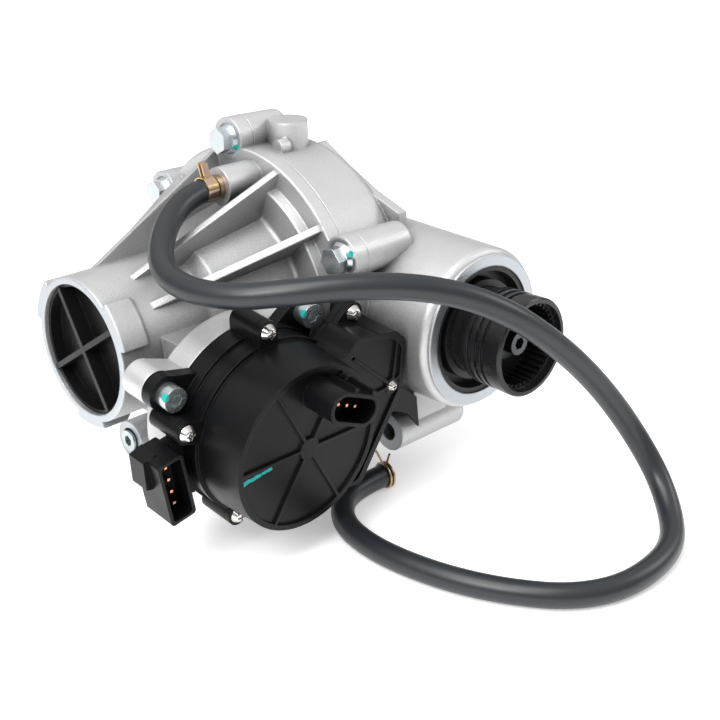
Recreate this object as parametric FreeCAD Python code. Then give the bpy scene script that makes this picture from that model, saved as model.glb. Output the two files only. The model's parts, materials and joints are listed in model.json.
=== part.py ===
import FreeCAD, Part
import math
import os

V = FreeCAD.Vector

# Front differential of a small off-road vehicle: a bevel drive in a two-piece aluminium case,
# a lock collar moved by an electric actuator, and a breather hose. Millimetres, +Z up.
# Origin: centre of the left axle port's mouth. +X runs along the axle into the case,
# and the propshaft coupler points to -Y. Angles about the axle are from +Z towards -Y.

# Bearings and seals: one common size in all three ports
bearing_id = 35.0
bearing_od = 72.0
bearing_width = 17.0
race_height = 5.0
roller_count = 9
seal_width = 7.0
plug_width = 11.0
plug_rib = 3.0

# Clearances
seat_gap = 0.02
run_gap = 0.25
fit_gap = 0.05
body_gap = 0.3

# Case and cover
port_wall = 4.0
split_x = 122.0
cover_flange = 9.0
flange_radius = 87.0
case_draft = 2.0
drum_wall = 5.5
drum_length = 41.0
gear_room = 76.0
o_ring_radius = 1.4
dowel_radius = 2.0
dowel_reach = 4.0
cage_room = 44.0
right_mouth_x = 212.0
tube_step_x = 57.0
cone_start = 47.0
cone_end = 57.0
step_height = 17.0
ledge = 5.5
rib_thick = 4.0
rib_angles = (-17.0, 20.5, 49.0, 155.0, -125.0, -75.0, -46.0)
rib_starts = (15.0, 22.0, 22.0, 30.0, 24.0, 24.0, 24.0)
rib_top = 85.0
collar_room = 31.0
pad_height = 3.5
pad_half_angle = 17.5
pad_length = 20.0
pad_angles = (27.0, 147.0, 267.0)

# Case bolts: M8 flange bolts on one circle, and one long socket screw
bolt_circle = 91.0
bolt_angles = (-7.5, 62.0, 135.0, -108.0, -59.5)
bolt_boss_ends = (150.0, 157.0, 146.0, 150.0, 150.0)
long_bolt_angle = -157.0
bolt_radius = 4.0
bolt_flange_radius = 8.95
bolt_flange_height = 2.2
bolt_flats = 13.0
bolt_head_height = 8.0
bolt_grip = 20.0
boss_radius = 12.0
long_lug_start = 47.0
socket_head_radius = 6.5
socket_head_height = 8.0
socket_flats = 6.0

# Pinion and its snout
pinion_x = 170.0
snout_radius = 45.0
snout_end = 131.0
snout_ring_radius = 42.2
snout_edge = 4.5
head_bearing_y = 78.0
spacer_width = 6.0
pinion_seal_width = 10.0

# Bevel drive
drive_module = 4.0
ring_teeth = 35
pinion_teeth = 10
drive_face = 21.0
drive_pressure = 22.5
ring_back_x = 138.0
ring_bore = 42.0
ring_bolt_circle = 51.0
ring_bolt_count = 8
ring_bolt_radius = 4.0

# Differential gears inside the carrier
diff_x = 160.0
diff_module = 3.0
side_teeth = 14
spider_teeth = 10
diff_face = 9.0
cage_radius = 39.0
cage_half = 19.5
cage_wall = 4.5
cross_pin_radius = 7.0
washer_thick = 1.0
flange_plate = 8.0
carrier_flange_radius = 60.0

# Axle output, lock collar and dog ring
shaft_radius = 17.5
spline_count = 12
spline_tip = 15.0
spline_depth = 1.6
stub_radius = 12.0
stub_nose = 8.5
collar_x = 56.0
collar_length = 18.0
collar_radius = 28.0
groove_radius = 23.0
groove_width = 7.0
dog_count = 8
dog_width = 18.0
dog_slot = 22.0
dog_length = 5.0
dog_ring_x = 84.0
dog_ring_length = 12.0
lock_travel = 9.42

# Propshaft coupler
coupler_radius = 27.1
coupler_rim_y = 164.6
coupler_spline_teeth = 40
coupler_minor = 22.0
coupler_major = 24.0
coupler_lead = 5.0
coupler_lead_radius = 24.3
coupler_floor_y = 146.0
coupler_groove = 1.6
coupler_neck_radius = 24.0

# Mounting lugs
lug_radius = 11.5
lug_hole = 5.2
front_lug = (137.0, -91.0, -64.0)
rear_lug = (128.0, 97.0, 20.0)
lug_length = 50.0

# Top boss and locating lug
top_boss = (142.0, -6.0)
top_boss_radius = 11.0
top_boss_height = 99.3
pry_lug_radius = 4.5

# Breather
breather_angle = 6.0
breather_reach = 72.0
breather_boss_radius = 10.5
breather_boss_x = 90.0
hose_radius = 6.5
hose_bore = 4.0
nipple_length = 7.5
hose_start_gap = 3.0
hose_lead = 14.5
clip_width = 7.0
clip_wall = 0.8

# Actuator, built in its own frame: u along +X, v up, w out of its face
act_centre = (50.0, -124.0, -30.0)
act_tilt = 5.0
act_mount = 52.0
act_joint = 32.0
act_drum = 45.0
act_drum_draft = 2.0
act_base_radius = 49.5
act_wall = 3.0
act_face_recess = 1.4
act_rim = 3.0
act_rib = 1.6
act_hub = 6.0
bulge_face = 8.5
bulge_back = 36.5
plate_thick = 16.0
ear_thick = 7.0
ear_radius = 9.5
cap_screws = ((-53.6, 29.9), (32.6, 48.9), (41.0, -47.0))
pan_screws = ((-4.5, 54.6), (52.5, 48.3), (-53.8, 15.7), (-22.5, -44.7))
pan_boss = 6.0
pan_head = 4.6
pan_head_height = 3.2
small_screw = (65.0, 9.6)
small_head = 3.0
spigot_radius = 16.0
spigot_length = 8.0

# Actuator gear train
gasket_thick = 0.3
gear_module = 1.25
output_teeth = 32
idler_small = 10
idler_large = 28
motor_teeth = 10
idler_turn = 20.0
motor_turn = 5.0
gear_width = 4.0
motor_radius = 12.0
motor_length = 12.0
drive_shaft = 5.0
rack_module = 1.0
rack_teeth = 12
rack_half = 5.0

# Shift fork
rod_radius = 5.0
rod_wall = 4.66
fork_rod_v = 15.6
fork_hub = 8.2
fork_hub_start = 36.0
fork_hub_end = 74.0
fork_room_start = 34.0
fork_room_end = 86.0

# Hose route: straight runs and tangent arcs round these points
hose_route = (
    (51.6, -15.5, 64.9),
    (33.3, -31.3, 56.5),
    (20.3, -51.5, 51.3),
    (17.0, -75.5, 49.9),
    (25.0, -101.0, 50.7),
    (42.2, -122.8, 54.6),
    (64.8, -140.7, 56.6),
    (89.0, -155.5, 54.0),
    (112.4, -167.9, 46.5),
    (134.5, -177.7, 33.9),
    (156.2, -184.1, 16.7),
    (177.2, -189.7, -3.0),
    (196.5, -195.5, -25.7),
    (211.0, -204.3, -50.0),
    (215.9, -218.8, -72.6),
    (204.2, -236.8, -86.3),
    (185.6, -250.0, -89.4),
    (160.2, -255.6, -89.3),
    (133.9, -253.8, -89.4),
    (111.4, -241.5, -89.3),
    (95.2, -220.0, -89.4),
    (83.3, -195.8, -89.3),
    (76.4, -169.9, -89.4),
    (73.7, -142.9, -89.3),
    (78.5, -116.5, -89.4),
    (95.3, -96.9, -89.3),
    (120.0, -92.0, -89.4),
    (134.5, -93.5, -89.3),
)

bearing_radius = bearing_od / 2
shaft_seat = bearing_id / 2
tilt_sine = math.sin(math.radians(act_tilt))
tilt_cosine = math.cos(math.radians(act_tilt))
rod_line_y = -(bearing_radius + rod_wall + rod_radius)
fork_rod_w = (rod_line_y - act_centre[1] + tilt_sine * fork_rod_v) / tilt_cosine
port_radius = bearing_radius + port_wall
ring_seat = gear_room + 3.4
cover_face_x = split_x - cover_flange
drum_end_x = split_x + drum_length
floor_inner = cone_end + step_height


def out(angle, radius):
    """Point at a radius from the axle; the angle is from +Z towards -Y."""
    turn = math.radians(angle)
    return V(0, -radius * math.sin(turn), radius * math.cos(turn))


def rod(radius, start, way, length):
    return Part.makeCylinder(radius, length, start, way)


def x_rod(radius, x0, x1, y=0.0, z=0.0):
    return rod(radius, V(x0, y, z), V(1, 0, 0), x1 - x0)


def x_tube(outer, inner, x0, x1, y=0.0, z=0.0):
    return x_rod(outer, x0, x1, y, z).cut(x_rod(inner, x0 - 1, x1 + 1, y, z))


def join(first, *others):
    solid = first.fuse(list(others))
    return solid.removeSplitter()


def box(x0, x1, y0, y1, z0, z1):
    return Part.makeBox(x1 - x0, y1 - y0, z1 - z0, V(x0, y0, z0))


def flat(points):
    """Face in the XY plane from corner points."""
    ring = [V(p[0], p[1], 0) for p in points]
    return Part.Face(Part.makePolygon(ring + [ring[0]]))


def rounded(points):
    """Face in the XY plane; each point is (x, y, corner radius)."""
    edges = []
    ends = []
    count = len(points)
    for i in range(count):
        here = V(points[i][0], points[i][1], 0)
        before = V(points[i - 1][0], points[i - 1][1], 0)
        after = V(points[(i + 1) % count][0], points[(i + 1) % count][1], 0)
        radius = points[i][2]
        back = (before - here).normalize()
        ahead = (after - here).normalize()
        if radius <= 0:
            ends.append((here, here, here))
            continue
        half = back.getAngle(ahead) / 2
        reach = radius / math.tan(half)
        middle = (back + ahead).normalize()
        centre = here + middle * (radius / math.sin(half))
        ends.append((here + back * reach, centre - middle * radius, here + ahead * reach))
    for i in range(count):
        start, bend, stop = ends[i]
        if (stop - start).Length > 1e-6:
            edges.append(Part.Arc(start, bend, stop).toShape())
        following = ends[(i + 1) % count][0]
        if (following - stop).Length > 1e-6:
            edges.append(Part.makeLine(stop, following))
    return Part.Face(Part.Wire(edges))


def spun(face):
    """Turn a face drawn in the XY plane round the X axis."""
    return face.revolve(V(0, 0, 0), V(1, 0, 0), 360)


def on_pinion(shape):
    """From a frame with +X outwards to the pinion axis."""
    shape.rotate(V(0, 0, 0), V(0, 0, 1), -90)
    shape.translate(V(pinion_x, 0, 0))
    return shape


def on_actuator(shape):
    """From the actuator's own u, v, w frame to its place on the cover."""
    shape.rotate(V(0, 0, 0), V(1, 0, 0), 90 + act_tilt)
    shape.translate(V(*act_centre))
    return shape


def turned(shape, angle):
    """Turn a shape drawn at the top of the axle to an angle towards -Y."""
    shape.rotate(V(0, 0, 0), V(1, 0, 0), angle)
    return shape


# Bearings: one rolling bearing, built at the origin along +X
def outer_race(x0):
    inner = bearing_radius - race_height
    race = x_tube(bearing_radius - seat_gap, inner, x0, x0 + bearing_width)
    return race


def inner_race(x0):
    return x_tube(shaft_seat + race_height, shaft_seat + seat_gap, x0, x0 + bearing_width)


def rollers(x0):
    low = shaft_seat + race_height + fit_gap
    high = bearing_radius - race_height - body_gap
    roller_radius = (high - low) / 2
    pitch = (high + low) / 2
    margin = bearing_width * 0.15
    made = []
    for i in range(roller_count):
        spot = out(360.0 * i / roller_count, pitch)
        made.append(rod(roller_radius, V(x0 + margin, spot.y, spot.z), V(1, 0, 0),
                        bearing_width - 2 * margin))
    return made


carrier_left_x = split_x - cover_flange * 0.4 - bearing_width
carrier_right_x = diff_x + cage_half + cage_wall
axle_bearing_x = plug_width + seal_width + 7.0
axle_shoulder_x = axle_bearing_x + bearing_width
tail_bearing_y = head_bearing_y + bearing_width + spacer_width


# Left cover
def cover_body():
    """Port tube, cone, step and flange turned as one profile."""
    profile = rounded([
        (0, 0, 0),
        (0, port_radius, 0.8),
        (tube_step_x, port_radius, 4),
        (tube_step_x + cone_start - port_radius, cone_start, 3),
        (cover_face_x - ledge, cone_end, 3),
        (cover_face_x - ledge, floor_inner, 1),
        (cover_face_x, floor_inner + 2, 0),
        (cover_face_x, flange_radius, 1),
        (split_x, flange_radius, 0),
        (split_x, 0, 0),
    ])
    return spun(profile)


def port_pads():
    """Raised pads round the mouth, blended into the tube by a slope."""
    high = port_radius + pad_height
    pads = []
    for angle in pad_angles:
        sector = rounded([
            (0, port_radius - 2, 0),
            (0, high, 0.8),
            (pad_length - 5, high, 3),
            (pad_length, port_radius - 2, 0),
        ]).revolve(V(0, 0, 0), V(1, 0, 0), 2 * pad_half_angle)
        sector.rotate(V(0, 0, 0), V(1, 0, 0), -90 + 180 - pad_half_angle)
        pads.append(turned(sector, angle - 90 + 0))
    return pads


def cover_ribs():
    """Tapered ribs from the tube up to the flange rim."""
    ribs = []
    for angle, start in zip(rib_angles, rib_starts):
        side = flat([
            (start, port_radius - 2),
            (start + 4, port_radius),
            (cover_face_x - 1, rib_top),
            (cover_face_x + 2, rib_top),
            (cover_face_x + 2, port_radius - 2),
        ])
        rib = side.extrude(V(0, 0, rib_thick))
        rib.translate(V(0, 0, -rib_thick / 2))
        rib.rotate(V(0, 0, 0), V(1, 0, 0), 90)
        ribs.append(turned(rib, angle))
    return ribs


def boss_spot(angle):
    return out(angle, bolt_circle)


def cover_bosses():
    """Bolt ears on the flange and the long lug with its web."""
    made = []
    for angle in bolt_angles:
        spot = boss_spot(angle)
        made.append(x_rod(boss_radius, cover_face_x, split_x, spot.y, spot.z))
    spot = boss_spot(long_bolt_angle)
    made.append(x_rod(boss_radius, long_lug_start, split_x, spot.y, spot.z))
    web = box(long_lug_start + 12, split_x, -3, 3, port_radius - 6, bolt_circle)
    made.append(turned(web, long_bolt_angle))
    return made


def breather_spot():
    return out(breather_angle, breather_reach)


def fork_centre():
    """World place of the fork rod, from the actuator's frame."""
    mark = V(0, fork_rod_v, -fork_rod_w)
    turn = FreeCAD.Rotation(V(1, 0, 0), 90 + act_tilt)
    spot = turn.multVec(mark) + V(*act_centre)
    return spot


def plate_outline():
    """Outline of the actuator's seat: a disc with three ears."""
    disc = Part.Face(Part.Wire(Part.makeCircle(act_base_radius)))
    outline = disc
    for u, v in cap_screws:
        ear = Part.Face(Part.Wire(Part.makeCircle(ear_radius, V(u, v, 0))))
        away = V(u, v, 0)
        side = V(-v, u, 0).normalize() * ear_radius
        inner = side * 2.2
        neck = flat([away + side, away - side, -inner, inner])
        outline = outline.fuse([ear, neck])
    return outline.removeSplitter()


def actuator_seat():
    """Mount plate and the neck that joins it to the port tube."""
    plate = plate_outline().extrude(V(0, 0, plate_thick))
    plate.translate(V(0, 0, -act_mount - plate_thick))
    plate = on_actuator(plate)
    spot = fork_centre()
    neck_x0 = fork_room_start - 9
    neck_x1 = fork_room_end + 9
    neck = box(neck_x0, neck_x1, spot.y - 16, -12, spot.z - 30, spot.z + 19)
    low = box(neck_x0 + 6, neck_x1 - 6, spot.y - 14, -12, spot.z - 44, spot.z - 28)
    return [plate, neck, low]


def fork_chamber():
    """Room for the fork hub, its arm and the actuator's pinion."""
    spot = fork_centre()
    room = x_rod(fork_hub + 2.5, fork_room_start, fork_room_end, spot.y, spot.z)
    side = flat([(spot.y, spot.z - 8), (spot.y, spot.z + 8), (-20, 10), (-20, -16)])
    window = side.extrude(V(0, 0, fork_room_end - collar_x - 2))
    window.rotate(V(0, 0, 0), V(0, 0, 1), 90)
    window.rotate(V(0, 0, 0), V(0, 1, 0), 90)
    window.translate(V(collar_x + 2, 0, 0))
    shaft_way = rod(drive_shaft + 3.5, V(0, 0, -fork_rod_w - 8), V(0, 0, 1), fork_rod_w - act_mount + 9)
    spigot_seat = rod(spigot_radius, V(0, 0, -act_mount - spigot_length - 1), V(0, 0, 1),
                      spigot_length + 2)
    tip = rack_module * (rack_teeth / 2 - 0.8) - 0.6
    rack_way = Part.makeBox(fork_room_end - fork_room_start, fork_rod_v - tip, 2 * rack_half + 1.2,
                            V(fork_room_start - act_centre[0], tip, -fork_rod_w - rack_half - 0.6))
    rod_hole = x_rod(rod_radius + seat_gap, fork_room_start - 6, fork_room_end + 6, spot.y, spot.z)
    return [room, window, on_actuator(shaft_way), on_actuator(spigot_seat), on_actuator(rack_way), rod_hole]


def left_cover():
    spot = breather_spot()
    boss = x_rod(breather_boss_radius, breather_boss_x, cover_face_x + 1, spot.y, spot.z)
    solid = join(cover_body(), *port_pads(), *cover_ribs(), *cover_bosses(), *actuator_seat(), boss)
    hollow = [
        x_rod(bearing_radius, -1, axle_shoulder_x),
        x_rod(collar_room, axle_shoulder_x - 1, carrier_left_x + 1),
        x_rod(bearing_radius, carrier_left_x, split_x + 1),
        x_rod(hose_bore, breather_boss_x - 1, split_x + 1, spot.y, spot.z),
    ]
    hollow.append(box(split_x - 4, split_x + 1, spot.y - 4, spot.y + 4, bearing_radius - 2, spot.z))
    for angle in bolt_angles:
        hole = boss_spot(angle)
        hollow.append(x_rod(bolt_radius + fit_gap * 4, cover_face_x - 1, split_x + 1, hole.y, hole.z))
    hole = boss_spot(long_bolt_angle)
    hollow.append(x_rod(bolt_radius + fit_gap * 4, long_lug_start, split_x + 1, hole.y, hole.z))
    hollow.append(x_rod(socket_head_radius + 1, long_lug_start - 1, long_lug_start + 6, hole.y, hole.z))
    for u, v in cap_screws:
        hollow.append(on_actuator(rod(bolt_radius + fit_gap, V(u, v, -act_mount - 13), V(0, 0, 1), 20)))
    hollow += fork_chamber()
    hollow += dowel_rods(fit_gap)
    groove = x_tube(ring_seat + o_ring_radius + fit_gap, ring_seat - o_ring_radius - fit_gap,
                    split_x - 2 * o_ring_radius - fit_gap, split_x + 1)
    hollow.append(groove)
    return solid.cut(hollow)


def dowel_rods(extra):
    made = []
    for angle in (28.0, -132.0):
        spot = out(angle, flange_radius - dowel_radius - 1)
        reach = dowel_reach + extra
        made.append(x_rod(dowel_radius + extra, split_x - reach, split_x + reach, spot.y, spot.z))
    return made


# Main case
def drum_profile():
    low = port_radius
    return rounded([
        (split_x, 0, 0),
        (split_x, flange_radius, 0),
        (drum_end_x, flange_radius - case_draft, 9),
        (drum_end_x + 3.5, cage_room + 17, 6),
        (drum_end_x + 10, cage_room + 7, 4),
        (right_mouth_x - 18, cage_room + 6, 5),
        (right_mouth_x - 8, low, 3),
        (right_mouth_x, low, 0.8),
        (right_mouth_x, 0, 0),
    ])


def snout():
    """Pinion housing with a rolled front edge and a raised machined ring."""
    profile = rounded([
        (0, 0, 0),
        (0, snout_radius + 1.5, 0),
        (snout_end - 1.5, snout_radius, snout_edge),
        (snout_end - 1.5, snout_ring_radius, 0),
        (snout_end, snout_ring_radius, 0.4),
        (snout_end, 0, 0),
    ])
    return on_pinion(spun(profile))


def lug(place, webs):
    x0, y, z = place
    made = [x_rod(lug_radius, x0, x0 + lug_length, y, z)]
    for corner in webs:
        side = flat([(corner[0][0], corner[0][1]), (corner[1][0], corner[1][1]),
                     (corner[2][0], corner[2][1]), (corner[3][0], corner[3][1])])
        web = side.extrude(V(0, 0, corner[4]))
        web.rotate(V(0, 0, 0), V(0, 0, 1), 90)
        web.rotate(V(0, 0, 0), V(0, 1, 0), 90)
        web.translate(V(corner[5], 0, 0))
        made.append(web)
    return made


def case_lugs():
    fx, fy, fz = front_lug
    rx, ry, rz = rear_lug
    front_web = [((fy - 10, fz + 2), (fy + 10, fz - 4), (-55, -30), (-100, -30), 26, fx + 11)]
    rear_web = [((ry - 2, rz + 10), (ry - 2, rz - 10), (60, -34), (60, 52), 22, rx + 6)]
    return lug(front_lug, front_web) + lug(rear_lug, rear_web)


def case_webs():
    """Gusset by the upper bolt boss, the spine over the snout, and rear stiffeners."""
    gusset = box(pinion_x - 26, pinion_x + 4, -104, -70, 27, 32)
    spine = flat([(-12, 84), (-32, 73.4), (-54, 63.4), (-77, 56), (-77, 30), (-12, 30)]).extrude(V(0, 0, 6))
    spine.rotate(V(0, 0, 0), V(0, 0, 1), 90)
    spine.rotate(V(0, 0, 0), V(0, 1, 0), 90)
    spine.translate(V(drum_end_x - 4, 0, 0))
    made = [gusset, spine]
    for angle in (-40.0, -90.0, -140.0, 170.0, 8.0):
        side = flat([
            (drum_end_x - 4, port_radius - 2),
            (drum_end_x - 4, gear_room + 2),
            (drum_end_x + 2, gear_room - 4),
            (right_mouth_x - 6, port_radius + 2),
            (right_mouth_x - 6, port_radius - 2),
        ])
        web = side.extrude(V(0, 0, rib_thick))
        web.translate(V(0, 0, -rib_thick / 2))
        web.rotate(V(0, 0, 0), V(1, 0, 0), 90)
        made.append(turned(web, angle))
    return made


def case_bosses():
    made = []
    for angle, end in zip(bolt_angles + (long_bolt_angle,), bolt_boss_ends + (150.0,)):
        spot = boss_spot(angle)
        face = rounded([(split_x, 0, 0), (split_x, boss_radius, 0), (end, boss_radius - 1, 3), (end, 0, 0)])
        boss = spun(face)
        boss.translate(V(0, spot.y, spot.z))
        made.append(boss)
    x, y = top_boss
    made.append(Part.makeCone(top_boss_radius + 1, top_boss_radius, top_boss_height - 70, V(x, y, 70)))
    spot = out(9.0, flange_radius + 1)
    made.append(x_rod(pry_lug_radius, split_x + 5, x - top_boss_radius + 3, spot.y, spot.z))
    for angle in (fill_angle, drain_angle):
        spot = out(angle, flange_radius - 12)
        way = out(angle, 1)
        made.append(rod(13, V(plug_x, spot.y, spot.z), way, 13.5))
    return made


fill_angle = -128.0
drain_angle = 176.0
plug_x = 144.0
plug_seat = flange_radius + 1.5


def case_hollow():
    tail = tail_bearing_y + bearing_width + 1
    made = [
        x_rod(gear_room, split_x - 1, drum_end_x - drum_wall),
        x_rod(cage_room, split_x, carrier_right_x),
        x_rod(bearing_radius, carrier_right_x - 1, pinion_x + snout_radius + 5),
        on_pinion(x_rod(30, cage_room - 1, head_bearing_y + 1)),
        on_pinion(x_rod(bearing_radius, head_bearing_y, snout_end + 1)),
        x_rod(lug_hole, front_lug[0] - 1, front_lug[0] + lug_length + 1, front_lug[1], front_lug[2]),
        x_rod(lug_hole, rear_lug[0] - 1, rear_lug[0] + lug_length + 1, rear_lug[1], rear_lug[2]),
    ]
    for angle, end in zip(bolt_angles + (long_bolt_angle,), bolt_boss_ends + (150.0,)):
        spot = boss_spot(angle)
        made.append(x_rod(bolt_radius + fit_gap, split_x - 1, end - 4, spot.y, spot.z))
    for angle in (fill_angle, drain_angle):
        spot = out(angle, gear_room - 6)
        made.append(rod(8 + fit_gap, V(plug_x, spot.y, spot.z), out(angle, 1), 30))
    made += dowel_rods(fit_gap)
    if tail > snout_end:
        raise ValueError("the pinion bearings run past the snout")
    return made


def main_case():
    spun_drum = spun(drum_profile())
    solid = join(spun_drum, snout(), *case_bosses(), *case_lugs(), *case_webs())
    return solid.cut(case_hollow())


# Fasteners
def hexagon(flats, height, start, way_turn):
    across = flats / math.sqrt(3)
    points = []
    for i in range(6):
        turn = math.radians(60 * i + way_turn)
        points.append((across * math.cos(turn), across * math.sin(turn)))
    solid = flat(points).extrude(V(0, 0, height))
    solid.translate(V(0, 0, start))
    return solid


def flange_bolt():
    """M8 bolt pointing to +Z, seat at z 0, head below."""
    shank = rod(bolt_radius, V(0, 0, 0), V(0, 0, 1), bolt_grip)
    disc = Part.makeCone(bolt_flange_radius - 1.6, bolt_flange_radius, bolt_flange_height,
                         V(0, 0, -bolt_flange_height))
    head = hexagon(bolt_flats, bolt_head_height - 1, -bolt_head_height, 0)
    return join(shank, disc, head)


def cap_screw(radius, head, height, length, flats):
    """Socket head screw pointing to +Z, seat at z 0."""
    shank = rod(radius, V(0, 0, 0), V(0, 0, 1), length)
    top = rod(head, V(0, 0, -height), V(0, 0, 1), height)
    socket = hexagon(flats, height * 0.55, -height - 0.01, 0)
    return join(shank, top).cut(socket)


def facing_x(shape, x, y, z):
    shape.rotate(V(0, 0, 0), V(0, 1, 0), 90)
    shape.translate(V(x, y, z))
    return shape


def cover_bolts():
    made = []
    for i, angle in enumerate(bolt_angles):
        spot = boss_spot(angle)
        bolt = flange_bolt()
        bolt.rotate(V(0, 0, 0), V(0, 0, 1), 17.0 * i)
        made.append(facing_x(bolt, cover_face_x, spot.y, spot.z))
    return made


def long_cover_screw():
    spot = boss_spot(long_bolt_angle)
    reach = split_x - long_lug_start - 6 + bolt_grip - cover_flange
    screw = cap_screw(bolt_radius, socket_head_radius, socket_head_height, reach, socket_flats)
    return facing_x(screw, long_lug_start + 6, spot.y, spot.z)


def case_plug(angle):
    """Threaded plug with a socket in its thin head."""
    plug = cap_screw(8, 11.5, 4, 9, 8)
    plug.rotate(V(0, 0, 0), V(1, 0, 0), 180)
    plug.translate(V(0, 0, plug_seat + 1.5))
    plug = turned(plug, angle)
    plug.translate(V(plug_x, 0, 0))
    return plug


def plug_washer(angle):
    washer = rod(11, V(0, 0, plug_seat), V(0, 0, 1), 1.5)
    washer = washer.cut(rod(8 + 2 * fit_gap, V(0, 0, plug_seat - 1), V(0, 0, 1), 4))
    washer = turned(washer, angle)
    washer.translate(V(plug_x, 0, 0))
    return washer


# Seals and transit plugs
def axle_seal(x0, width, bore):
    """Rubber-coated ring with a thin lip running on the shaft."""
    case = x_tube(bearing_radius - seat_gap, bearing_radius - 3, x0, x0 + width)
    web = x_tube(bearing_radius - 2, bore + 3, x0, x0 + 2)
    lip = x_tube(bore + 4, bore + run_gap, x0, x0 + width - 1)
    return join(case, web, lip)


def left_port_plug():
    """Black cup with a thin skirt, full-height cross ribs and a flat floor."""
    skirt = bearing_radius - seat_gap
    floor = x_rod(skirt, plug_width - 1.6, plug_width)
    wall = x_tube(skirt, skirt - 2, 2.5, plug_width)
    solid = [wall]
    for turn in (-32.0, 57.0):
        rib = box(1.0, plug_width - 1, -plug_rib / 2, plug_rib / 2, -skirt + 1, skirt - 1)
        solid.append(turned(rib, turn))
    return join(floor, *solid)


def right_port_plug():
    skirt = bearing_radius - seat_gap
    depth = right_mouth_x - right_seal_x - seal_width
    floor = x_rod(skirt, right_mouth_x - depth, right_mouth_x - depth + 1.6)
    wall = x_tube(skirt, skirt - 2, right_mouth_x - depth, right_mouth_x + 1)
    solid = [wall]
    for turn in (-32.0, 57.0):
        rib = box(right_mouth_x - depth, right_mouth_x + 1, -plug_rib / 2, plug_rib / 2,
                  -skirt + 1, skirt - 1)
        solid.append(turned(rib, turn))
    return join(floor, *solid)


right_seal_x = carrier_right_x + bearing_width + 0.4


def pinion_seal():
    seal = axle_seal(0, pinion_seal_width, coupler_neck_radius)
    seal.translate(V(snout_end - 1 - pinion_seal_width, 0, 0))
    return on_pinion(seal)


# Bevel gears
def involute_half(teeth, module, pressure, radius, thin):
    """Half angle of a tooth of a flat gear at a radius."""
    pitch = teeth * module / 2
    base = pitch * math.cos(math.radians(pressure))
    slope = math.radians(pressure)
    start = math.tan(slope) - slope
    reach = max(radius, base)
    here = math.acos(base / reach)
    turn = math.tan(here) - here
    return math.pi / 2 / teeth + start - turn - thin / pitch


def bevel_gear(teeth, mate, module, face, pressure, tip, root, thin, blank):
    """Straight bevel gear, cone tip at the origin, axis +Z; a tooth is centred on +X."""
    cone = math.atan2(teeth, mate)
    pitch = teeth * module / 2
    cone_length = pitch / math.sin(cone)
    flat_pitch = pitch / math.cos(cone)
    flat_teeth = teeth / math.cos(cone)
    levels = (-root - 0.12 * module, -root * 0.55, (tip - root) / 2 + 0.1 * module, tip)
    left = []
    for level in levels:
        radius = flat_pitch + level
        half = involute_half(flat_teeth, module, pressure, radius, thin)
        turn = half * radius / (radius * math.cos(cone))
        ring = pitch + level * math.cos(cone)
        height = cone_length * math.cos(cone) - level * math.sin(cone)
        point = V(ring * math.cos(turn), ring * math.sin(turn), height)
        left.append(point)
    plane = cone_length * math.cos(cone) * 1.6
    corner = [p * (plane / p.z) for p in left]
    loop = corner + [V(p.x, -p.y, p.z) for p in reversed(corner)]
    faces = [Part.Face(Part.makePolygon(loop + [loop[0]]))]
    for i in range(len(loop)):
        faces.append(Part.Face(Part.makePolygon([V(0, 0, 0), loop[i], loop[(i + 1) % len(loop)],
                                                 V(0, 0, 0)])))
    spike = Part.Solid(Part.Shell(faces))
    if spike.Volume < 0:
        spike.reverse()
    reach = 3 * module
    heel = (cone_length, 1.0)
    toe = (cone_length - face, 1.0 - face / cone_length)
    corners = []
    for length, side in ((heel[0], -1), (heel[0], 1), (toe[0], 1), (toe[0], -1)):
        corners.append((length * math.cos(cone) - side * reach * math.sin(cone),
                        length * math.sin(cone) + side * reach * math.cos(cone)))
    band = spun(flat(corners))
    band.rotate(V(0, 0, 0), V(0, 1, 0), -90)
    tooth = spike.common(band)
    made = []
    for i in range(teeth):
        copy = tooth.copy()
        copy.rotate(V(0, 0, 0), V(0, 0, 1), 360.0 * i / teeth)
        made.append(copy)
    body = spun(flat(blank))
    body.rotate(V(0, 0, 0), V(0, 1, 0), -90)
    return body.fuse(made)


def cone_point(teeth, mate, module, along, level):
    """(axis, radius) of a point on a gear's cone; along is a share of the cone length."""
    cone = math.atan2(teeth, mate)
    pitch = teeth * module / 2
    length = pitch / math.sin(cone)
    return (along * (length * math.cos(cone) - level * math.sin(cone)),
            along * (pitch + level * math.cos(cone)))


drive_length = math.hypot(ring_teeth, pinion_teeth) * drive_module / 2
drive_toe = 1 - drive_face / drive_length
ring_tip = 0.5 * drive_module
ring_root = 1.35 * drive_module
pinion_tip = 1.15 * drive_module
pinion_root = 0.7 * drive_module
pinion_heel = pinion_teeth * drive_module / 2
ring_heel = ring_teeth * drive_module / 2


def ring_gear():
    heel = cone_point(ring_teeth, pinion_teeth, drive_module, 1, -ring_root)
    toe = cone_point(ring_teeth, pinion_teeth, drive_module, drive_toe, -ring_root)
    back = pinion_x - ring_back_x
    blank = [(back, ring_bore), (back, ring_heel), (heel[0] + 1.5, ring_heel), heel, toe,
             (toe[0] + 1.2, ring_bore + 2), (toe[0] + 2, ring_bore)]
    gear = bevel_gear(ring_teeth, pinion_teeth, drive_module, drive_face, drive_pressure,
                      ring_tip, ring_root, 0.10, blank)
    gear.rotate(V(0, 0, 0), V(0, 0, 1), 180.0 / ring_teeth)
    gear.rotate(V(0, 0, 0), V(0, 1, 0), -90)
    gear.rotate(V(0, 0, 0), V(1, 0, 0), 90)
    gear.translate(V(pinion_x, 0, 0))
    holes = []
    for i in range(ring_bolt_count):
        spot = out(360.0 * i / ring_bolt_count + 22.5, ring_bolt_circle)
        holes.append(x_rod(ring_bolt_radius + fit_gap, ring_back_x - 1, ring_back_x + 7, spot.y, spot.z))
    return gear.cut(holes)


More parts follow.
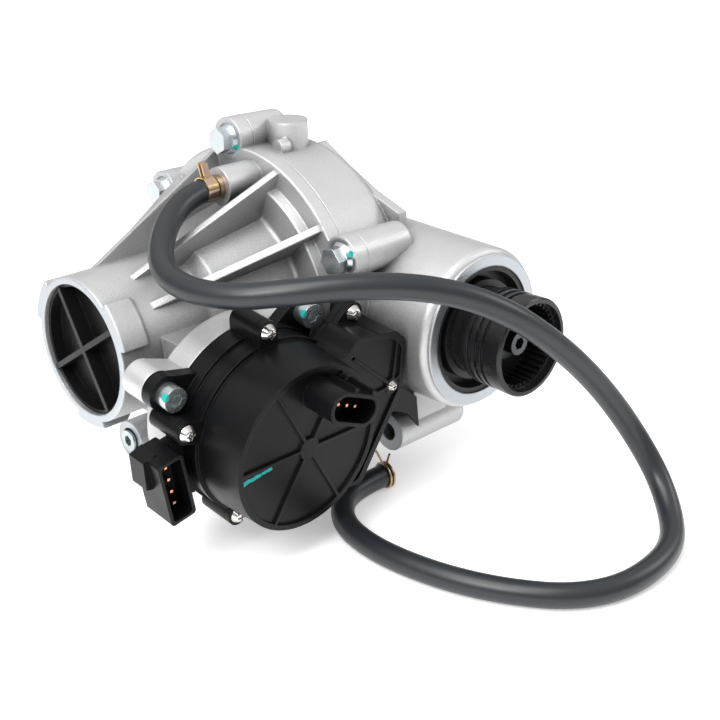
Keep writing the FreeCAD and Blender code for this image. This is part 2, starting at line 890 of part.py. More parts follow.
def ring_gear_bolts():
    made = []
    start = ring_back_x - flange_plate
    for i in range(ring_bolt_count):
        spot = out(360.0 * i / ring_bolt_count + 22.5, ring_bolt_circle)
        shank = x_rod(ring_bolt_radius, start, ring_back_x + 6.5, spot.y, spot.z)
        head = hexagon(bolt_flats, 5.5, -5.5, 0)
        made.append(join(shank, facing_x(head, start, spot.y, spot.z)))
    return made


def pinion_shaft():
    """Bevel head and stepped shaft in one forging; its tail carries the coupler."""
    heel = cone_point(pinion_teeth, ring_teeth, drive_module, 1, -pinion_root)
    toe = cone_point(pinion_teeth, ring_teeth, drive_module, drive_toe, -pinion_root)
    shoulder = head_bearing_y
    blank = [(toe[0], 0), toe, heel, (heel[0] + 1.5, heel[1] + 3), (shoulder, heel[1] + 2),
             (shoulder, 0)]
    gear = bevel_gear(pinion_teeth, ring_teeth, drive_module, drive_face, drive_pressure,
                      pinion_tip, pinion_root, 0.10, blank)
    tail = tail_bearing_y + bearing_width
    stem = rod(shaft_seat, V(0, 0, shoulder - 2), V(0, 0, 1), tail - shoulder + 2)
    stub = rod(12, V(0, 0, tail - 2), V(0, 0, 1), coupler_floor_y - 4.5 - tail + 2)
    shaft = join(gear, stem, stub)
    hole = rod(4 + fit_gap, V(0, 0, coupler_floor_y - 26), V(0, 0, 1), 30)
    shaft = shaft.cut(hole)
    shaft.rotate(V(0, 0, 0), V(1, 0, 0), 90)
    shaft.rotate(V(0, 0, 0), V(0, 1, 0), 180)
    shaft.translate(V(pinion_x, 0, 0))
    return shaft


def pinion_spacer():
    start = head_bearing_y + bearing_width
    return on_pinion(x_tube(shaft_seat + 4, shaft_seat + seat_gap, start, start + spacer_width))


def spline_ring(teeth, minor, major):
    """Star-shaped face for an internal spline."""
    points = []
    for i in range(teeth):
        for share, radius in ((-0.28, minor), (-0.16, major), (0.16, major), (0.28, minor)):
            turn = 2 * math.pi * (i + share) / teeth
            points.append((radius * math.cos(turn), radius * math.sin(turn)))
    return flat(points)


def propshaft_coupler():
    """Splined cup with three grooves, stepped down to the neck that the seal runs on."""
    start = tail_bearing_y + bearing_width
    groove = coupler_groove
    rim = coupler_rim_y
    outer = [(start, 0), (start, coupler_neck_radius - 1), (snout_end - 6, coupler_neck_radius),
             (snout_end + 3, coupler_neck_radius), (snout_end + 5, coupler_radius - 2),
             (snout_end + 9, coupler_radius - 0.6)]
    for mark in (snout_end + 12, snout_end + 16.5, snout_end + 21):
        outer += [(mark, coupler_radius - 0.3), (mark, coupler_radius - groove),
                  (mark + 2, coupler_radius - groove), (mark + 2, coupler_radius - 0.3)]
    outer += [(rim - 5, coupler_radius), (rim - 0.8, coupler_radius), (rim, coupler_radius - 0.8), (rim, 0)]
    solid = on_pinion(spun(flat(outer)))
    floor = coupler_floor_y
    bore = on_pinion(x_rod(12 + seat_gap, start - 1, floor - 4.5))
    hole = on_pinion(x_rod(4.5, floor - 6, floor + 1))
    lead = on_pinion(x_rod(coupler_lead_radius, rim - coupler_lead, rim + 1))
    teeth = spline_ring(coupler_spline_teeth, coupler_minor, coupler_major)
    teeth = teeth.extrude(V(0, 0, rim - coupler_lead - floor + 1))
    teeth.translate(V(0, 0, floor))
    teeth.rotate(V(0, 0, 0), V(1, 0, 0), 90)
    teeth.translate(V(pinion_x, 0, 0))
    return solid.cut([bore, hole, lead, teeth])


def coupler_screw():
    screw = cap_screw(4, socket_head_radius, socket_head_height, 20, socket_flats)
    screw.rotate(V(0, 0, 0), V(1, 0, 0), -90)
    screw.translate(V(pinion_x, -coupler_floor_y - 2.2, 0))
    return screw


def coupler_washer():
    return on_pinion(x_tube(11, 4.3, coupler_floor_y, coupler_floor_y + 2.2))


# Differential carrier
def side_gear(hand):
    """Axle gear; hand -1 is the left one and +1 the right one."""
    module = diff_module
    length = math.hypot(side_teeth, spider_teeth) * module / 2
    toe = 1 - diff_face / length
    root = 1.2 * module
    heel_point = cone_point(side_teeth, spider_teeth, module, 1, -root)
    toe_point = cone_point(side_teeth, spider_teeth, module, toe, -root)
    back = cage_half - washer_thick - fit_gap
    blank = [(toe_point[0], 0), toe_point, heel_point, (back, heel_point[1]), (back, 0)]
    gear = bevel_gear(side_teeth, spider_teeth, module, diff_face, 22.5,
                      0.6 * module, root, 0.08, blank)
    gear.rotate(V(0, 0, 0), V(0, 0, 1), 180.0 / side_teeth)
    gear.rotate(V(0, 0, 0), V(0, 1, 0), 90 * hand)
    gear.translate(V(diff_x, 0, 0))
    if hand < 0:
        gear = gear.cut(x_rod(stub_nose + seat_gap, diff_x - cage_half, diff_x))
    return gear


def spider_gear(hand):
    """Planet gear on the cross pin; hand +1 is the top one and -1 the bottom one."""
    module = diff_module
    length = math.hypot(side_teeth, spider_teeth) * module / 2
    toe = 1 - diff_face / length
    root = 0.8 * module
    heel_point = cone_point(spider_teeth, side_teeth, module, 1, -root)
    toe_point = cone_point(spider_teeth, side_teeth, module, toe, -root)
    back = spider_back
    blank = [(toe_point[0], 0), toe_point, heel_point, (heel_point[0] + 1, heel_point[1] + 0.5),
             (back, heel_point[1] - 1), (back, 0)]
    gear = bevel_gear(spider_teeth, side_teeth, module, diff_face, 22.5,
                      1.0 * module, root, 0.08, blank)
    if hand < 0:
        gear.rotate(V(0, 0, 0), V(1, 0, 0), 180)
    gear.translate(V(diff_x, 0, 0))
    return gear.cut(rod(cross_pin_radius + fit_gap, V(diff_x, 0, -40), V(0, 0, 1), 80))


spider_back = 27.0
spider_room = 16.5
cage_ball = 28.2


def carrier_body():
    """Cage with two windows, drive flange and two hollow hubs."""
    left_hub = dog_ring_x + 1
    right_hub = right_seal_x + seal_width - body_gap
    shell = x_rod(cage_radius, ring_back_x - flange_plate, diff_x + cage_half + cage_wall - 1)
    plate = x_rod(carrier_flange_radius, ring_back_x - flange_plate, ring_back_x)
    shoulder = x_rod(shaft_seat + 4.5, carrier_left_x + bearing_width, carrier_right_x)
    hub = x_rod(shaft_seat, left_hub, right_hub)
    solid = join(shell, plate, shoulder, hub)
    cavity = x_rod(cage_ball, diff_x - cage_half, diff_x + cage_half)
    window = box(diff_x - 15, diff_x + 15, -cage_radius - 1, cage_radius + 1, -19, 19)
    bore = x_rod(stub_radius + run_gap, left_hub - 1, diff_x)
    right_bore = x_rod(stub_radius + run_gap, diff_x, right_hub + 1)
    pin = rod(cross_pin_radius + seat_gap, V(diff_x, 0, -cage_radius - 1), V(0, 0, 1), 2 * cage_radius + 2)
    seat = spider_back + washer_thick + 2 * seat_gap
    spider_seat = rod(spider_room, V(diff_x, 0, -seat), V(0, 0, 1), 2 * seat)
    cuts = [cavity, window, bore, right_bore, pin, spider_seat]
    for i in range(ring_bolt_count):
        spot = out(360.0 * i / ring_bolt_count + 22.5, ring_bolt_circle)
        cuts.append(x_rod(ring_bolt_radius + fit_gap, ring_back_x - flange_plate - 1, ring_back_x + 1,
                          spot.y, spot.z))
    lock_way = x_rod(2 + fit_gap, ring_back_x - flange_plate - 1, diff_x + 2, 0, cage_radius - 6)
    cuts.append(lock_way)
    return solid.cut(cuts)


def cross_pin():
    pin = rod(cross_pin_radius, V(diff_x, 0, -cage_radius + 0.5), V(0, 0, 1), 2 * cage_radius - 1)
    return pin.cut(x_rod(2 + fit_gap, diff_x - 10, diff_x + 2, 0, cage_radius - 6))


def lock_pin():
    return x_rod(2, ring_back_x - flange_plate + 1, diff_x + 1.5, 0, cage_radius - 6)


def gear_washers():
    """Thrust washers behind the two axle gears and the two planet gears."""
    made = []
    for hand in (-1, 1):
        inner = diff_x + hand * (cage_half - washer_thick)
        outer = diff_x + hand * cage_half
        made.append(x_tube(20, stub_radius + run_gap, min(inner, outer), max(inner, outer) - seat_gap))
        disc = rod(spider_room - 2, V(diff_x, 0, spider_back + seat_gap), V(0, 0, 1), washer_thick)
        disc = disc.cut(rod(cross_pin_radius + fit_gap, V(diff_x, 0, 0), V(0, 0, 1), 40))
        made.append(turned(disc, 90 - 90 * hand))
    return made


def right_stub():
    """Splined bush of the right axle gear, inside the carrier's right hub."""
    start = diff_x + cage_half - washer_thick - 1
    end = right_seal_x + seal_width
    bush = x_rod(stub_radius, start, end)
    spline = star_rod(stub_radius - 2.2, stub_radius - 3.4, 12, start + 2, end + 1)
    return bush.cut(spline)


def star_rod(tip, root, teeth, x0, x1, turn=0.0):
    """Straight-sided spline along X, tips pointing outwards."""
    points = []
    for i in range(teeth):
        for share, radius in ((-0.30, root), (-0.20, tip), (0.20, tip), (0.30, root)):
            angle = 2 * math.pi * (i + share) / teeth + turn
            points.append((radius * math.cos(angle), radius * math.sin(angle)))
    solid = flat(points).extrude(V(0, 0, x1 - x0))
    solid.rotate(V(0, 0, 0), V(0, 1, 0), 90)
    solid.translate(V(x0, 0, 0))
    return solid


# Left output shaft, lock collar and dog ring
def left_output_shaft():
    start = plug_width + 3
    seat = x_rod(shaft_seat, start, axle_shoulder_x)
    shoulder = x_rod(shaft_seat + 3, axle_shoulder_x, axle_shoulder_x + 4)
    spline = star_rod(spline_tip, spline_tip - spline_depth, spline_count, axle_shoulder_x + 1, dog_ring_x - 0.6)
    inner_end = diff_x - cage_half + washer_thick
    stem = x_rod(stub_radius, dog_ring_x - 2, inner_end)
    nose = x_rod(stub_nose, inner_end - 1, inner_end + diff_face)
    solid = join(seat, shoulder, spline, stem, nose)
    socket = star_rod(stub_radius - 0.2, stub_radius - 1.4, 12, start - 1, start + 30)
    return solid.cut(socket)


def lock_collar():
    """Sliding sleeve: splined bore, fork groove and face dogs."""
    end = collar_x + collar_length
    body = x_rod(collar_radius, collar_x, end)
    middle = collar_x + collar_length / 2
    groove = x_tube(collar_radius + 1, groove_radius, middle - groove_width / 2, middle + groove_width / 2)
    solid = body.cut(groove)
    dogs = [dog(end - 1, end + dog_length, 360.0 * i / dog_count) for i in range(dog_count)]
    solid = join(solid, *dogs)
    gap = 0.12
    bore = star_rod(spline_tip + gap, spline_tip - spline_depth + gap, spline_count,
                    collar_x - 1, end + dog_length + 1)
    return solid.cut(bore)


def dog(x0, x1, angle):
    """One face dog: a block between two radii."""
    sector = flat([(x0, shaft_seat + 0.8), (x0, collar_radius - 1), (x1, collar_radius - 1),
                   (x1, shaft_seat + 0.8)]).revolve(V(0, 0, 0), V(1, 0, 0), dog_width)
    sector.rotate(V(0, 0, 0), V(1, 0, 0), -dog_width / 2 + angle)
    return sector


def lock_dog_ring():
    """Ring on the carrier hub with slots for the collar's dogs."""
    end = dog_ring_x + dog_ring_length
    ring = x_tube(collar_radius, shaft_seat + seat_gap, dog_ring_x, end)
    slots = []
    for i in range(dog_count):
        sector = flat([(dog_ring_x - 1, shaft_seat - 1), (dog_ring_x - 1, collar_radius + 1),
                       (dog_ring_x + dog_length + 1, collar_radius + 1),
                       (dog_ring_x + dog_length + 1, shaft_seat - 1)])
        sector = sector.revolve(V(0, 0, 0), V(1, 0, 0), dog_slot)
        sector.rotate(V(0, 0, 0), V(1, 0, 0), -dog_slot / 2 + 360.0 * i / dog_count)
        slots.append(sector)
    return ring.cut(slots)


# Shift fork
def fork_rod():
    spot = fork_centre()
    return x_rod(rod_radius, fork_room_start - 5.8, fork_room_end + 5.8, spot.y, spot.z)


def rack_face():
    """Outline of the rack under the fork hub, in the actuator's u, v plane."""
    pitch = math.pi * rack_module
    line = rack_module * rack_teeth / 2
    back = fork_rod_v - fork_hub * 0.6
    low = fork_hub_start - act_centre[0]
    count = 7
    points = [(low, back)]
    first = -round(-low / pitch) * pitch + pitch / 2
    for i in range(count):
        middle = first + i * pitch
        for share, level in ((-0.40, 1.15), (-0.12, -0.8), (0.12, -0.8), (0.40, 1.15)):
            points.append((middle + share * pitch, line + level * rack_module))
    points.append((first + (count - 0.5) * pitch, back))
    return flat(points)


def shift_fork():
    """Hub on the rod, rack for the actuator's pinion, and a half ring in the collar's groove."""
    spot = fork_centre()
    hub = x_rod(fork_hub, fork_hub_start, fork_hub_end, spot.y, spot.z)
    rack = rack_face().extrude(V(0, 0, 2 * rack_half))
    rack.translate(V(0, 0, -fork_rod_w - rack_half))
    rack = on_actuator(rack)
    middle = collar_x + collar_length / 2
    half = groove_width / 2 - 0.3
    ring = x_tube(collar_room - 0.8, groove_radius + 0.4, middle - half, middle + half)
    keep = box(middle - 10, middle + 10, -collar_room, -4, -collar_room, collar_room)
    ring = ring.common(keep)
    arm = box(middle - half, middle + half, spot.y, -collar_radius, spot.z - 6, spot.z + 6)
    arm = arm.cut(x_rod(groove_radius + 4, middle - 10, middle + 10))
    solid = join(hub, rack, ring, arm)
    return solid.cut(x_rod(rod_radius + fit_gap, fork_hub_start - 1, fork_hub_end + 1, spot.y, spot.z))


# Actuator housings
def bulge_outline(inset):
    """Outline of the motor bulge beside the drum, in the u, v plane."""
    s = inset
    return rounded([
        (10, 38 - s, 0),
        (31 + s, 38 - s, 6),
        (38 + s, 46 - s, 6),
        (65 - s, 42 - s, 4),
        (73 - s, 35 - s, 6),
        (73 - s, 5 + s * 0.5, 4),
        (46 - s, -44 + s, 5),
        (10, -38 + s, 0),
    ])


def act_prism(face, low, high):
    """Extrude a face of the u, v plane between two depths behind the drum face."""
    solid = face.extrude(V(0, 0, high - low))
    solid.translate(V(0, 0, -high))
    return solid


def ear_blocks(depth0, depth1):
    made = []
    for u, v in cap_screws:
        away = V(u, v, 0)
        side = V(-v, u, 0).normalize() * ear_radius
        inner = side * 1.9
        face = Part.Face(Part.Wire(Part.makeCircle(ear_radius, away)))
        neck = flat([away + side, away - side, away * 0.55 - inner, away * 0.55 + inner])
        made.append(act_prism(face, depth0, depth1))
        made.append(act_prism(neck, depth0, depth1))
    return made


def actuator_base():
    """Rear shell: floor, ring wall, three screw ears, screw towers and the side socket."""
    joint = act_joint + gasket_thick
    shell = rod(act_base_radius, V(0, 0, -act_mount), V(0, 0, 1), act_mount - 40)
    wall = Part.makeCone(act_base_radius - 1.5, act_drum + act_drum_draft + 0.5, 40 - joint, V(0, 0, -40))
    tray = act_prism(bulge_outline(0), joint, bulge_back)
    towers = [rod(pan_boss, V(u, v, -act_mount + 1), V(0, 0, 1), act_mount - 1 - joint)
              for u, v in pan_screws]
    ties = []
    for u, v in pan_screws:
        away = V(u, v, 0)
        side = V(-v, u, 0).normalize() * pan_boss
        face = flat([away + side, away - side, away * 0.6 - side, away * 0.6 + side])
        depth = bulge_back if u > 40 else act_mount - 1
        ties.append(act_prism(face, joint, depth))
    spigot = rod(spigot_radius - fit_gap, V(0, 0, -act_mount - spigot_length + 0.5), V(0, 0, 1),
                 spigot_length + 1)
    towers[1] = rod(pan_boss, V(pan_screws[1][0], pan_screws[1][1], -bulge_back - 3), V(0, 0, 1),
                    bulge_back + 3 - joint)
    solid = join(shell, wall, tray, spigot, *towers, *ties, *ear_blocks(act_mount - ear_thick, act_mount))
    solid = join(solid, *side_socket())
    inner = [
        rod(act_base_radius - act_wall - 2, V(0, 0, -act_mount + act_wall), V(0, 0, 1), 9.1),
        Part.makeCone(act_base_radius - act_wall - 2, act_drum - act_wall + 0.5, 40 - joint + 1,
                      V(0, 0, -40)),
        act_prism(bulge_outline(act_wall), joint - 1, bulge_back - act_wall),
        rod(drive_shaft + fit_gap, V(0, 0, -act_mount - 10), V(0, 0, 1), 20),
    ]
    solid = solid.cut(inner)
    boss = rod(drive_shaft + 4, V(0, 0, -act_mount + 1), V(0, 0, 1), 9)
    boss = boss.cut(rod(drive_shaft + fit_gap, V(0, 0, -act_mount), V(0, 0, 1), 20))
    solid = join(solid, boss)
    holes = [rod(bolt_radius + 4 * fit_gap, V(u, v, -act_mount - 1), V(0, 0, 1), ear_thick + 2)
             for u, v in cap_screws]
    holes += [rod(2.5 + fit_gap, V(u, v, -joint - 13), V(0, 0, 1), 14) for u, v in pan_screws]
    holes.append(rod(1.5 + fit_gap, V(small_screw[0], small_screw[1], -bulge_back + 1), V(0, 0, 1), 8))
    holes += side_socket_hollow()
    cleared = [rod(socket_head_radius + 1.2, V(u, v, -act_mount + ear_thick), V(0, 0, 1), 12)
               for u, v in cap_screws]
    o_groove = rod(spigot_radius + 2, V(0, 0, -act_mount - 5.5), V(0, 0, 1), 2.4)
    o_groove = o_groove.cut(rod(spigot_radius - 1.8, V(0, 0, -act_mount - 6), V(0, 0, 1), 4))
    solid = solid.cut(holes + cleared + [o_groove])
    return on_actuator(solid)


socket_turn = 12.0
socket_centre = (-59.5, -15.0)
socket_half_width = 7.5
socket_half_height = 19.0
socket_mouth = 29.0
socket_depth = 12.0
socket_back = 50.0


def socket_block(grow, low, high):
    """Rounded block in the side socket's turned frame."""
    w = socket_half_width + grow
    h = socket_half_height + grow
    face = rounded([(-w, -h, 2), (w, -h, 2), (w, h, 2), (-w, h, 2)])
    solid = act_prism(face, low, high)
    solid.rotate(V(0, 0, 0), V(0, 0, 1), socket_turn)
    solid.translate(V(socket_centre[0], socket_centre[1], 0))
    return solid


def side_socket():
    """Four-way plug shroud on the left of the base, with its latch and stepped back."""
    shroud = socket_block(0, socket_mouth, socket_back)
    bridge = act_prism(flat([(-62, 2), (-62, -26), (-40, -30), (-40, 6)]), socket_mouth + 12, act_mount - 3)
    latch = act_prism(flat([(-72, 2), (-72, -14), (-64, -16), (-64, 4)]), socket_mouth + 9, socket_back)
    latch.rotate(V(-64, -6, 0), V(0, 0, 1), socket_turn / 2)
    return [shroud, bridge, latch]


def side_socket_hollow():
    return [socket_block(-1.8, socket_mouth - 1, socket_mouth + socket_depth)]


def pin_row(count, pitch, centre, turn, low, high, size):
    made = []
    for i in range(count):
        step = (i - (count - 1) / 2) * pitch
        way = math.radians(turn)
        u = centre[0] + step * math.cos(way)
        v = centre[1] + step * math.sin(way)
        made.append(Part.makeBox(size, size, high - low, V(u - size / 2, v - size / 2, -high)))
    return made


def side_socket_pins():
    pins = pin_row(4, 7.6, socket_centre, 90 + socket_turn, socket_mouth + 6,
                   socket_mouth + socket_depth, 1.6)
    return [on_actuator(p) for p in pins]


top_socket_centre = (11.5, 26.5)
top_socket_turn = -24.0
top_socket_half = 16.5
top_socket_radius = 8.5
top_socket_out = 19.0
top_socket_depth = 13.0


def oval(half, radius, low, high):
    """Oval block of the top socket's turned frame, between two heights."""
    straight = half - radius
    face = rounded([(-half, -radius, radius * 0.98), (half, -radius, radius * 0.98),
                    (half, radius, radius * 0.98), (-half, radius, radius * 0.98)])
    if straight <= 0:
        raise ValueError("the top socket is shorter than it is wide")
    solid = face.extrude(V(0, 0, high - low))
    solid.translate(V(0, 0, low))
    solid.rotate(V(0, 0, 0), V(0, 0, 1), top_socket_turn)
    solid.translate(V(top_socket_centre[0], top_socket_centre[1], 0))
    return solid


def top_socket():
    """Three-way oval shroud standing on the drum face, with two latch rails."""
    shroud = oval(top_socket_half, top_socket_radius, -act_wall, top_socket_out)
    rails = []
    for along in (-4.0, 9.0):
        rail = Part.makeBox(2.6, 3.2, top_socket_out - 1, V(along, top_socket_radius - 1, 0))
        rail.rotate(V(0, 0, 0), V(0, 0, 1), top_socket_turn)
        rail.translate(V(top_socket_centre[0], top_socket_centre[1], 0))
        rails.append(rail)
    return [shroud] + rails


def top_socket_hollow():
    return [oval(top_socket_half - 2, top_socket_radius - 2, top_socket_out - top_socket_depth,
                 top_socket_out + 1)]


def top_socket_pins():
    pins = pin_row(3, 6.2, top_socket_centre, top_socket_turn, -top_socket_out + 6,
                   -top_socket_out + top_socket_depth, 1.5)
    return [on_actuator(p) for p in pins]


def drum_ribs():
    """Six thin ribs and the hub on the drum face."""
    made = [rod(act_hub, V(0, 0, -act_wall), V(0, 0, 1), act_wall)]
    for i in range(6):
        rib = Part.makeBox(act_drum - 2, act_rib, act_wall, V(0, -act_rib / 2, -act_wall))
        rib.rotate(V(0, 0, 0), V(0, 0, 1), 60 * i)
        made.append(rib)
    return made


def bulge_ribs():
    """Ribs that fan out from the small screw."""
    u, v = small_screw
    made = [rod(small_head + 1.6, V(u, v, -bulge_face - act_wall), V(0, 0, 1), act_wall)]
    for length, turn in ((38, 139), (26, 86), (24, 184), (8, 40)):
        rib = Part.makeBox(length, act_rib, act_wall, V(0, -act_rib / 2, -bulge_face - act_wall))
        rib.rotate(V(0, 0, 0), V(0, 0, 1), turn)
        rib.translate(V(u, v, 0))
        made.append(rib)
    outline = act_prism(bulge_outline(0.5), bulge_face, bulge_face + act_wall)
    return [rib.common(outline) for rib in made]


def side_plate():
    """Three-cornered plate that stands out of the bulge's right wall."""
    outline = flat([(66, -10), (72, 5), (81, 0), (93, -10), (97, -31), (88, -20), (80, -15)])
    return act_prism(outline, 2 * bulge_face - 1, 2 * bulge_face + 2)


def actuator_cover():
    """Front shell: ribbed drum face, motor bulge, screw ears and the oval socket."""
    drum = Part.makeCone(act_drum + act_drum_draft, act_drum, act_joint, V(0, 0, -act_joint))
    flange = rod(act_drum + act_drum_draft + 1.5, V(0, 0, -act_joint), V(0, 0, 1), 3)
    bulge = act_prism(bulge_outline(0), bulge_face, act_joint)
    ears = []
    for u, v in pan_screws:
        away = V(u, v, 0)
        side = V(-v, u, 0).normalize() * pan_boss
        face = Part.Face(Part.Wire(Part.makeCircle(pan_boss, away)))
        neck = flat([away + side, away - side, away * 0.6 - side, away * 0.6 + side])
        ears.append(act_prism(face, act_joint - 4, act_joint))
        ears.append(act_prism(neck, act_joint - 4, act_joint))
    solid = join(drum, flange, bulge, side_plate(), *ears)
    pocket = rod(act_drum - act_rim, V(0, 0, -act_face_recess), V(0, 0, 1), 4)
    bulge_pocket = act_prism(bulge_outline(act_rim), bulge_face - 3, bulge_face + act_face_recess)
    bulge_pocket = bulge_pocket.cut(rod(act_drum + 0.4, V(0, 0, -bulge_face - 5), V(0, 0, 1), 20))
    inner = [
        Part.makeCone(act_drum - act_wall + 0.4, act_drum - act_wall - act_face_recess, act_joint - 4,
                      V(0, 0, -act_joint - 0.01)),
        act_prism(bulge_outline(act_wall), bulge_face + act_wall + act_face_recess, act_joint + 1),
    ]
    solid = solid.cut([pocket, bulge_pocket])
    solid = join(solid, *drum_ribs(), *bulge_ribs())
    solid = solid.cut(inner)
    solid = join(solid, *top_socket())
    u, v = small_screw
    tower = rod(small_head, V(u, v, -act_joint), V(0, 0, 1), act_joint - bulge_face - 2)
    solid = join(solid, tower)
    holes = [rod(2.5 + 2 * fit_gap, V(u, v, -act_joint - 1), V(0, 0, 1), 8) for u, v in pan_screws]
    holes += [rod(pan_head + run_gap, V(u, v, -act_joint + 4), V(0, 0, 1), 30) for u, v in pan_screws]
    holes.append(rod(1.5 + 2 * fit_gap, V(u, v, -act_joint - 1), V(0, 0, 1), act_joint))
    solid = solid.cut(holes + top_socket_hollow())
    return on_actuator(solid)


def actuator_gasket():
    """Thin seal between the two shells, round the drum and the bulge."""
    deep = act_joint + gasket_thick
    ring = rod(act_drum + 0.5, V(0, 0, -deep), V(0, 0, 1), gasket_thick)
    outer = join(ring, act_prism(bulge_outline(0.5), act_joint, deep))
    inner = rod(act_drum - act_wall + 0.4, V(0, 0, -deep - 1), V(0, 0, 1), 3)
    hollow = act_prism(bulge_outline(act_wall), act_joint - 1, deep + 1)
    u, v = small_screw
    hole = rod(small_head, V(u, v, -deep - 1), V(0, 0, 1), 3)
    return on_actuator(outer.cut([inner, hollow, hole]))


def actuator_o_ring():
    ring = Part.makeTorus(spigot_radius - 0.9, 0.85, V(0, 0, -act_mount - 4.3), V(0, 0, 1))
    return on_actuator(ring)


def actuator_cap_screws():
    made = []
    for u, v in cap_screws:
        screw = cap_screw(bolt_radius, socket_head_radius, socket_head_height, 16, socket_flats)
        screw.rotate(V(0, 0, 0), V(1, 0, 0), 180)
        screw.translate(V(u, v, -act_mount + ear_thick))
        made.append(on_actuator(screw))
    return made


def pan_screw(radius, head, height, length):
    """Pan head screw pointing to -Z, seat at z 0, with a cross recess."""
    shank = rod(radius, V(0, 0, -length), V(0, 0, 1), length + 0.5)
    face = rounded([(0, 0, 0), (height, 0, 0), (height, head * 0.55, head * 0.35), (0, head, 0)])
    dome = spun(face)
    dome.rotate(V(0, 0, 0), V(0, 1, 0), -90)
    solid = join(shank, dome)
    arm = head * 0.55
    slot = [Part.makeBox(2 * arm, 0.8, 2, V(-arm, -0.4, height - 1.2)),
            Part.makeBox(0.8, 2 * arm, 2, V(-0.4, -arm, height - 1.2))]
    return solid.cut(slot)


def actuator_cover_screws():
    made = []
    for u, v in pan_screws:
        screw = pan_screw(2.5, pan_head, pan_head_height, 15)
        screw.translate(V(u, v, -act_joint + 4))
        made.append(on_actuator(screw))
    return made


def actuator_small_screw():
    screw = pan_screw(1.5, small_head, 2.0, 20)
    screw.translate(V(small_screw[0], small_screw[1], -bulge_face))
    return on_actuator(screw)


# Actuator gear train
def spur_face(teeth, module, tip, root, thin, turn):
    """Outline of a spur gear with straight flanks; a tooth is centred at the turn angle."""
    pitch = teeth * module / 2
    points = []
    for i in range(teeth):
        middle = 2 * math.pi * i / teeth + math.radians(turn)
        low = involute_half(teeth, module, 20, pitch - root, thin)
        high = involute_half(teeth, module, 20, pitch + tip, thin)
        for side, radius, half in ((-1, pitch - root, low), (-1, pitch + tip, high),
                                   (1, pitch + tip, high), (1, pitch - root, low)):
            angle = middle + side * half
            points.append((radius * math.cos(angle), radius * math.sin(angle)))
    return flat(points)


idler_spot = V((output_teeth + idler_small) * gear_module / 2, 0, 0)
idler_spot = FreeCAD.Rotation(V(0, 0, 1), idler_turn).multVec(idler_spot)
motor_step = V((idler_large + motor_teeth) * gear_module / 2, 0, 0)
motor_spot = idler_spot + FreeCAD.Rotation(V(0, 0, 1), motor_turn).multVec(motor_step)
idler_high = bulge_face + act_wall + act_face_recess + body_gap
idler_low = idler_high + gear_width
output_high = idler_low + body_gap
output_low = output_high + gear_width


def output_drive():
    """Output gear, its shaft and the pinion that moves the rack, on one axis."""
    gear = spur_face(output_teeth, gear_module, 0.8 * gear_module, 1.1 * gear_module, 0.10,
                     idler_turn + 180.0 / output_teeth)
    gear = act_prism(gear, output_high, output_low)
    shaft = rod(drive_shaft, V(0, 0, -fork_rod_w - 5), V(0, 0, 1), fork_rod_w + 5 - output_high + 6)
    pinion = spur_face(rack_teeth, rack_module, 0.8 * rack_module, 1.15 * rack_module, 0.08, 90)
    pinion = act_prism(pinion, fork_rod_w - 6, fork_rod_w + 6)
    return on_actuator(join(shaft, gear, pinion))


def idler_gear():
    turn = idler_turn + 180
    small = spur_face(idler_small, gear_module, 0.8 * gear_module, 1.1 * gear_module, 0.10, turn)
    large = spur_face(idler_large, gear_module, 0.8 * gear_module, 1.1 * gear_module, 0.10,
                      motor_turn + 180.0 / idler_large)
    solid = join(act_prism(small, idler_low - 1, output_low), act_prism(large, idler_high, idler_low))
    stub = rod(2.5, V(0, 0, -bulge_back + act_wall + body_gap), V(0, 0, 1),
               bulge_back - act_wall - body_gap - idler_high)
    solid = join(solid, stub)
    solid.translate(V(idler_spot.x, idler_spot.y, 0))
    return on_actuator(solid)


def motor():
    can = rod(motor_radius, V(0, 0, -bulge_back + act_wall + fit_gap), V(0, 0, 1), motor_length)
    nose = rod(3, V(0, 0, -bulge_back + act_wall + motor_length), V(0, 0, 1), 1.2)
    hole = rod(1.5 + fit_gap, V(0, 0, -bulge_back + act_wall + 2), V(0, 0, 1), motor_length + 4)
    solid = join(can, nose).cut(hole)
    solid.translate(V(motor_spot.x, motor_spot.y, 0))
    return on_actuator(solid)


def motor_pinion():
    pinion = spur_face(motor_teeth, gear_module, 0.8 * gear_module, 1.1 * gear_module, 0.10, motor_turn + 180)
    gear = act_prism(pinion, idler_high, idler_low)
    shaft = rod(1.5, V(0, 0, -bulge_back + act_wall + 3), V(0, 0, 1), bulge_back - act_wall - 3 - idler_high)
    solid = join(gear, shaft)
    solid.translate(V(motor_spot.x, motor_spot.y, 0))
    return on_actuator(solid)


# Breather
def breather_nipple():
    """Pressed pipe with a bead, standing out of the cover's boss."""
    spot = breather_spot()
    start = breather_boss_x - hose_start_gap - nipple_length
    pipe = x_tube(hose_bore - seat_gap, hose_bore - 1.2, start, breather_boss_x + 12, spot.y, spot.z)
    collar = x_tube(hose_bore + 2.5, hose_bore - 1.2, breather_boss_x - hose_start_gap, breather_boss_x,
                    spot.y, spot.z)
    return join(pipe, collar)


def hose_start():
    return V(breather_boss_x - hose_start_gap, breather_spot().y, breather_spot().z)


